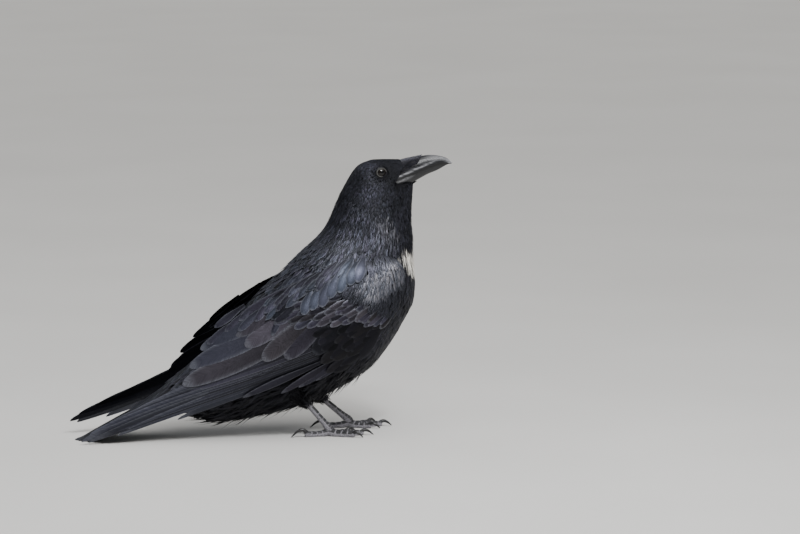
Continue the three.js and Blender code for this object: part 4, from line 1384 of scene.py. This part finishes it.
def scapulars(side):
    """The shoulder's feathers, which hang over the wing's upper part: pointed ones above,
    a row of broad blue ones below them, and long ones behind."""
    surface = WING_SURFACES[side]
    pointed = wing_rows(side, (-10, 132), (36, 78), 10.5, 5.8,
                        lambda p, q: 25 + 0.07 * p, lambda p, q: 9.0 + 0.02 * p,
                        lambda p, q: -0.34 + 0.1 * ease(0, 100, p), (5.6, 7.6, 8.2),
                        lambda p, q: (q > 40) & ((q > 53) | (p < -2) | (p > 112)),
                        peak=0.5, blunt=1.25, columns=5, rows=8, thick=0.0005, camber=0.2, wisp=0.1)
    groups, tints = [pointed], [shades(pointed, (0.05, 0.65), (0.05, 0.5), 0.45)]
    for places, wide, high, tone, hue, edge in ((REAR_SCAPULARS, 12, 6.6, 0.5, 0.4, 0.45),
                                                (BLUE_SCAPULARS, 13.5, 8.6, 0.95, 0.12, 0.6)):
        p, q, heading, length = quill(places)
        count = len(p)
        order = np.linspace(0, 0.5, count)
        heading = heading + chance.normal(0, 0.05, count)
        length = length * 1.12 * varied(count, 0.05)
        heights = [(high - drop + order) * MM for drop in (2.2, 0.3, 0.0)]
        groups.append(lay_vanes(surface, p, q, heading, length, wide * MM * varied(count, 0.06), heights,
                                peak=0.6, blunt=1.9, columns=7, rows=9, thick=0.0005, camber=0.18,
                                settle=settled))
        tints.append(masks(count, tone + chance.uniform(-0.2, 0.05, count),
                           hue + chance.uniform(-0.1, 0.15, count), edge))
    return groups, tints


for side in ("right", "left"):
    replaced = {"quills": ("primaries", "secondaries"), "small_feathers": ("coverts",), "scapulars": ()}
    laid = {"quills": flight_feathers, "small_feathers": covert_feathers, "scapulars": scapulars}
    for part, lay_part in laid.items():
        groups, tints = lay_part(side)
        coat_piece(f"wing_{side}_{part}", groups, unwrap_wing, tints,
                   QUILLS if part == "quills" else PLUMAGE_WING, "flight_feathers",
                   *[f"wing_{side}_{solid}" for solid in replaced[part]])

# %% [markdown]
# ## The tail
# Twelve feathers lie folded like a shut fan, the middle pair on top and longest, so the
# end is a wedge. Its tip is laid along the floor.

# %% Tail feathers
TAIL_ROOTS = 96  # millimetres along the tail
pair = np.repeat(np.arange(6), 2)
hand = np.tile([-1, 1], 6)
tip_share = (pair + 0.5) / 6
root_across = hand * (1.5 + 2.6 * pair) * MM
tip_across = hand * (2.0 + 5.0 * pair) * MM
tip_along = (TAIL_LENGTH - TAIL_WEDGE * tip_share ** 1.6) * MM
run = tip_along - TAIL_ROOTS * MM
drift = tip_across - root_across
level = (1.3 - 0.42 * pair - 0.16 * (hand > 0)) * MM
rectrices = lay_vanes(TAIL_SURFACE, np.full(12, TAIL_ROOTS * MM), root_across, np.arctan2(drift, run),
                      np.hypot(run, drift), 25 * MM, (level, level, level),
                      peak=0.7, blunt=2.0, columns=9, rows=24, thick=0.0004, camber=0.06)
# Feathers that would sink into the floor are pressed flat just above it.
low = 2.6 * MM
z = rectrices["points"][..., 2]
rectrices["points"][..., 2] = np.where(z < low, low * np.exp((z - low) / low), z)
coat_piece("tail_feathers", [rectrices], TAIL_MAP,
           [masks(12, 0.12 + 0.04 * pair, 0.4, 0.2)], QUILLS, "flight_feathers", "tail")

# %% [markdown]
# ## Legs and feet
# The front of a raven's leg is a row of hard dark plates with paler skin between and
# behind them, and each toe carries rings on top and pads below. Bump could draw them,
# but plates catch the light at the outline too, so they are part of the shape.

# %% Scaly limbs
SCALES, tree, shader = material("leg_scales")
plate_mask = mask_of(tree, "plate")
mottle = noise(tree, object_place(tree), 500.0)
net = cells(tree, object_place(tree), 620.0, feature="DISTANCE_TO_EDGE")
pale = blend_colour(tree, mottle, (0.16, 0.155, 0.175, 1), (0.38, 0.365, 0.4, 1))
cracked = blend_colour(tree, remap(tree, net, 0.0, 0.12), (0.03, 0.028, 0.032, 1), pale)
plates = blend_colour(tree, mottle, (0.008, 0.008, 0.01, 1), (0.035, 0.034, 0.038, 1))
look(tree, shader, blend_colour(tree, remap(tree, plate_mask, 0.55, 0.8), cracked, plates),
     remap(tree, sums(tree, "ADD", mottle, plate_mask), 0.4, 1.5, 0.62, 0.34),
     bump(tree, remap(tree, net, 0.0, 0.2), 0.6, 0.0005))

CLAW, tree, shader = material("claw")
ridges = noise(tree, object_place(tree), 700.0)
look(tree, shader, blend_colour(tree, ridges, (0.005, 0.005, 0.006, 1), (0.025, 0.024, 0.025, 1)),
     remap(tree, ridges, 0.3, 0.7, 0.24, 0.42), bump(tree, ridges, 0.3, 0.0003))


def scaled(rows, ring, count, plates_along, pads=0):
    """A limb with overlapping plates over its upper side: each plate starts flush and
    rises to its end. Nothing reaches below the floor. Returns its points and how much of
    each point is plate."""
    base = limb(rows, ring, count)
    turn = np.linspace(0, 2 * math.pi, ring, endpoint=False)[None, :]
    s = np.linspace(0, 1, count)[:, None]
    upper = ease(-0.1, 0.5, np.cos(turn))
    part = (s * plates_along) % 1.0
    step = upper * (0.15 + part ** 0.8 - 1.15 * ease(0.9, 1.0, part)) * 0.5
    bulge = ease(0.1, -0.6, np.cos(turn)) * 0.6 * np.sin(s * math.pi * pads) ** 2
    outwards = unit(base - base.mean(1, keepdims=True))
    points = base + outwards * (step + bulge)[..., None] * MM
    points[..., 2] = np.maximum(points[..., 2], 0.0)
    return points, upper * (1 - ease(0.86, 0.97, part)) * ease(0.0, 0.08, part)


# Number, turn from straight ahead in degrees, length and length of claw.
TOES = [(1, 176, 27, 20), (2, -24, 27, 14), (3, 2, 40, 15), (4, 27, 31, 13)]
TOE_RADIUS = 4.1

for side, foot in FEET.items():
    hub = foot["hub"]
    shank, shank_plate = scaled([[*leg_place(foot, foot["shown"] - 0.14), 3.6], [*leg_place(foot, 0.7), 3.6],
                                 [*leg_place(foot, 0.88), 4.0], [*leg_place(foot, 1.0), 4.9],
                                 [hub[0] + 3.5, hub[1], hub[2] - 4.2, 4.2]], 28, 90, 8)
    tubes, plate_values, talons = [shank], [shank_plate], []
    for number, turn, length, claw in TOES:
        heading = math.radians(turn * foot["side"])
        out = lambda d, z, r: [hub[0] + d * math.cos(heading), hub[1] + d * math.sin(heading), z, r]
        r = TOE_RADIUS
        made, plate = scaled([out(-1, 5.6, r), out(length * 0.3, 3.3, r * 0.96),
                              out(length * 0.55, 2.9, r * 0.84), out(length * 0.8, 2.9, r * 0.86),
                              out(length + 1, 3.4, r * 0.66), out(length + 3, 3.4, r * 0.3)],
                             24, 80, 7 if number == 3 else 5, pads=3)
        tubes.append(made)
        plate_values.append(plate)
        arch = 6.5 if number == 1 else 3.6
        talons.append(limb([out(length - 2, 3.6, 2.5), out(length + claw * 0.25, 3.8 + arch * 0.75, 2.1),
                            out(length + claw * 0.6, 3.0 + arch * 0.6, 1.5),
                            out(length + claw * 0.88, 1.6 + arch * 0.1, 0.8),
                            out(length + claw, 0.4, 0.25)], 14, 22))
    points, faces = joined(tubes)
    leg = new_mesh(f"leg_{side}", points, faces)
    add_value(leg, "plate", np.concatenate([plate.ravel() for plate in plate_values]))
    finish_piece(leg, SCALES, "leg_scales", f"tarsus_{side}", *[f"toe_{side}_{k}" for k in range(1, 5)])
    points, faces = joined([np.maximum(talon, [-np.inf, -np.inf, 0]) for talon in talons])
    talon_piece = new_mesh(f"talons_{side}", points, faces)
    finish_piece(talon_piece, CLAW, "claws", *[f"claw_{side}_{k}" for k in range(1, 5)])

# %% [markdown]
# ## Floor and light
# Black feathers show their form only through what they reflect. A wide soft sky gives
# the floor and the bird's upper side an even light, and one closer softbox over the
# near shoulder draws the gloss. A small lamp puts a spark in the eye, and a weak one
# behind the bird draws its edge. The room stays dim, so that the underside stays black.

# %% Studio
FLOOR, tree, shader = material("studio_floor")
grit = noise(tree, object_place(tree), 3.0, 4.0)
look(tree, shader, blend_colour(tree, grit, (0.60, 0.59, 0.57, 1), (0.66, 0.65, 0.63, 1)),
     remap(tree, grit, 0.3, 0.7, 0.75, 0.85))
FLOOR_HALF = 20.0  # metres
corners = np.array([[-1, -1, 0], [1, -1, 0], [1, 1, 0], [-1, 1, 0]]) * FLOOR_HALF
floor = new_mesh("floor", corners, [np.array([[0, 1, 2, 3]])])
floor.data.materials.append(FLOOR)


def lamp(name, kind, place, aim, power, colour, **settings):
    """A light turned to face a point."""
    data = bpy.data.lights.new(name, kind)
    data.energy = power
    data.color = colour
    for key, value in settings.items():
        setattr(data, key, value)
    set_up(name, data, place, Vector(aim) - Vector(place))


lamp("sky", "SUN", (0.9, -1.6, 4.0), (0, 0, 0), 2.3, (1.0, 0.985, 0.96), angle=math.radians(70))
lamp("softbox", "AREA", (0.35, -1.15, 1.6), (0.02, 0, 0.2), 22, (0.95, 0.97, 1.0), size=0.7)
lamp("spark", "AREA", (0.297, -0.87, 1.28), (0.137, -0.02, 0.32), 6, (1.0, 1.0, 1.0), size=0.16)
lamp("rim", "AREA", (-0.8, 1.5, 2.0), (0.05, 0, 0.2), 6, (0.95, 0.97, 1.0), size=1.0)
world = bpy.data.worlds.new("studio")
world.use_nodes = True
world.node_tree.nodes["Background"].inputs[0].default_value = (0.9, 0.93, 0.96, 1)
world.node_tree.nodes["Background"].inputs[1].default_value = 0.25
bpy.context.scene.world = world
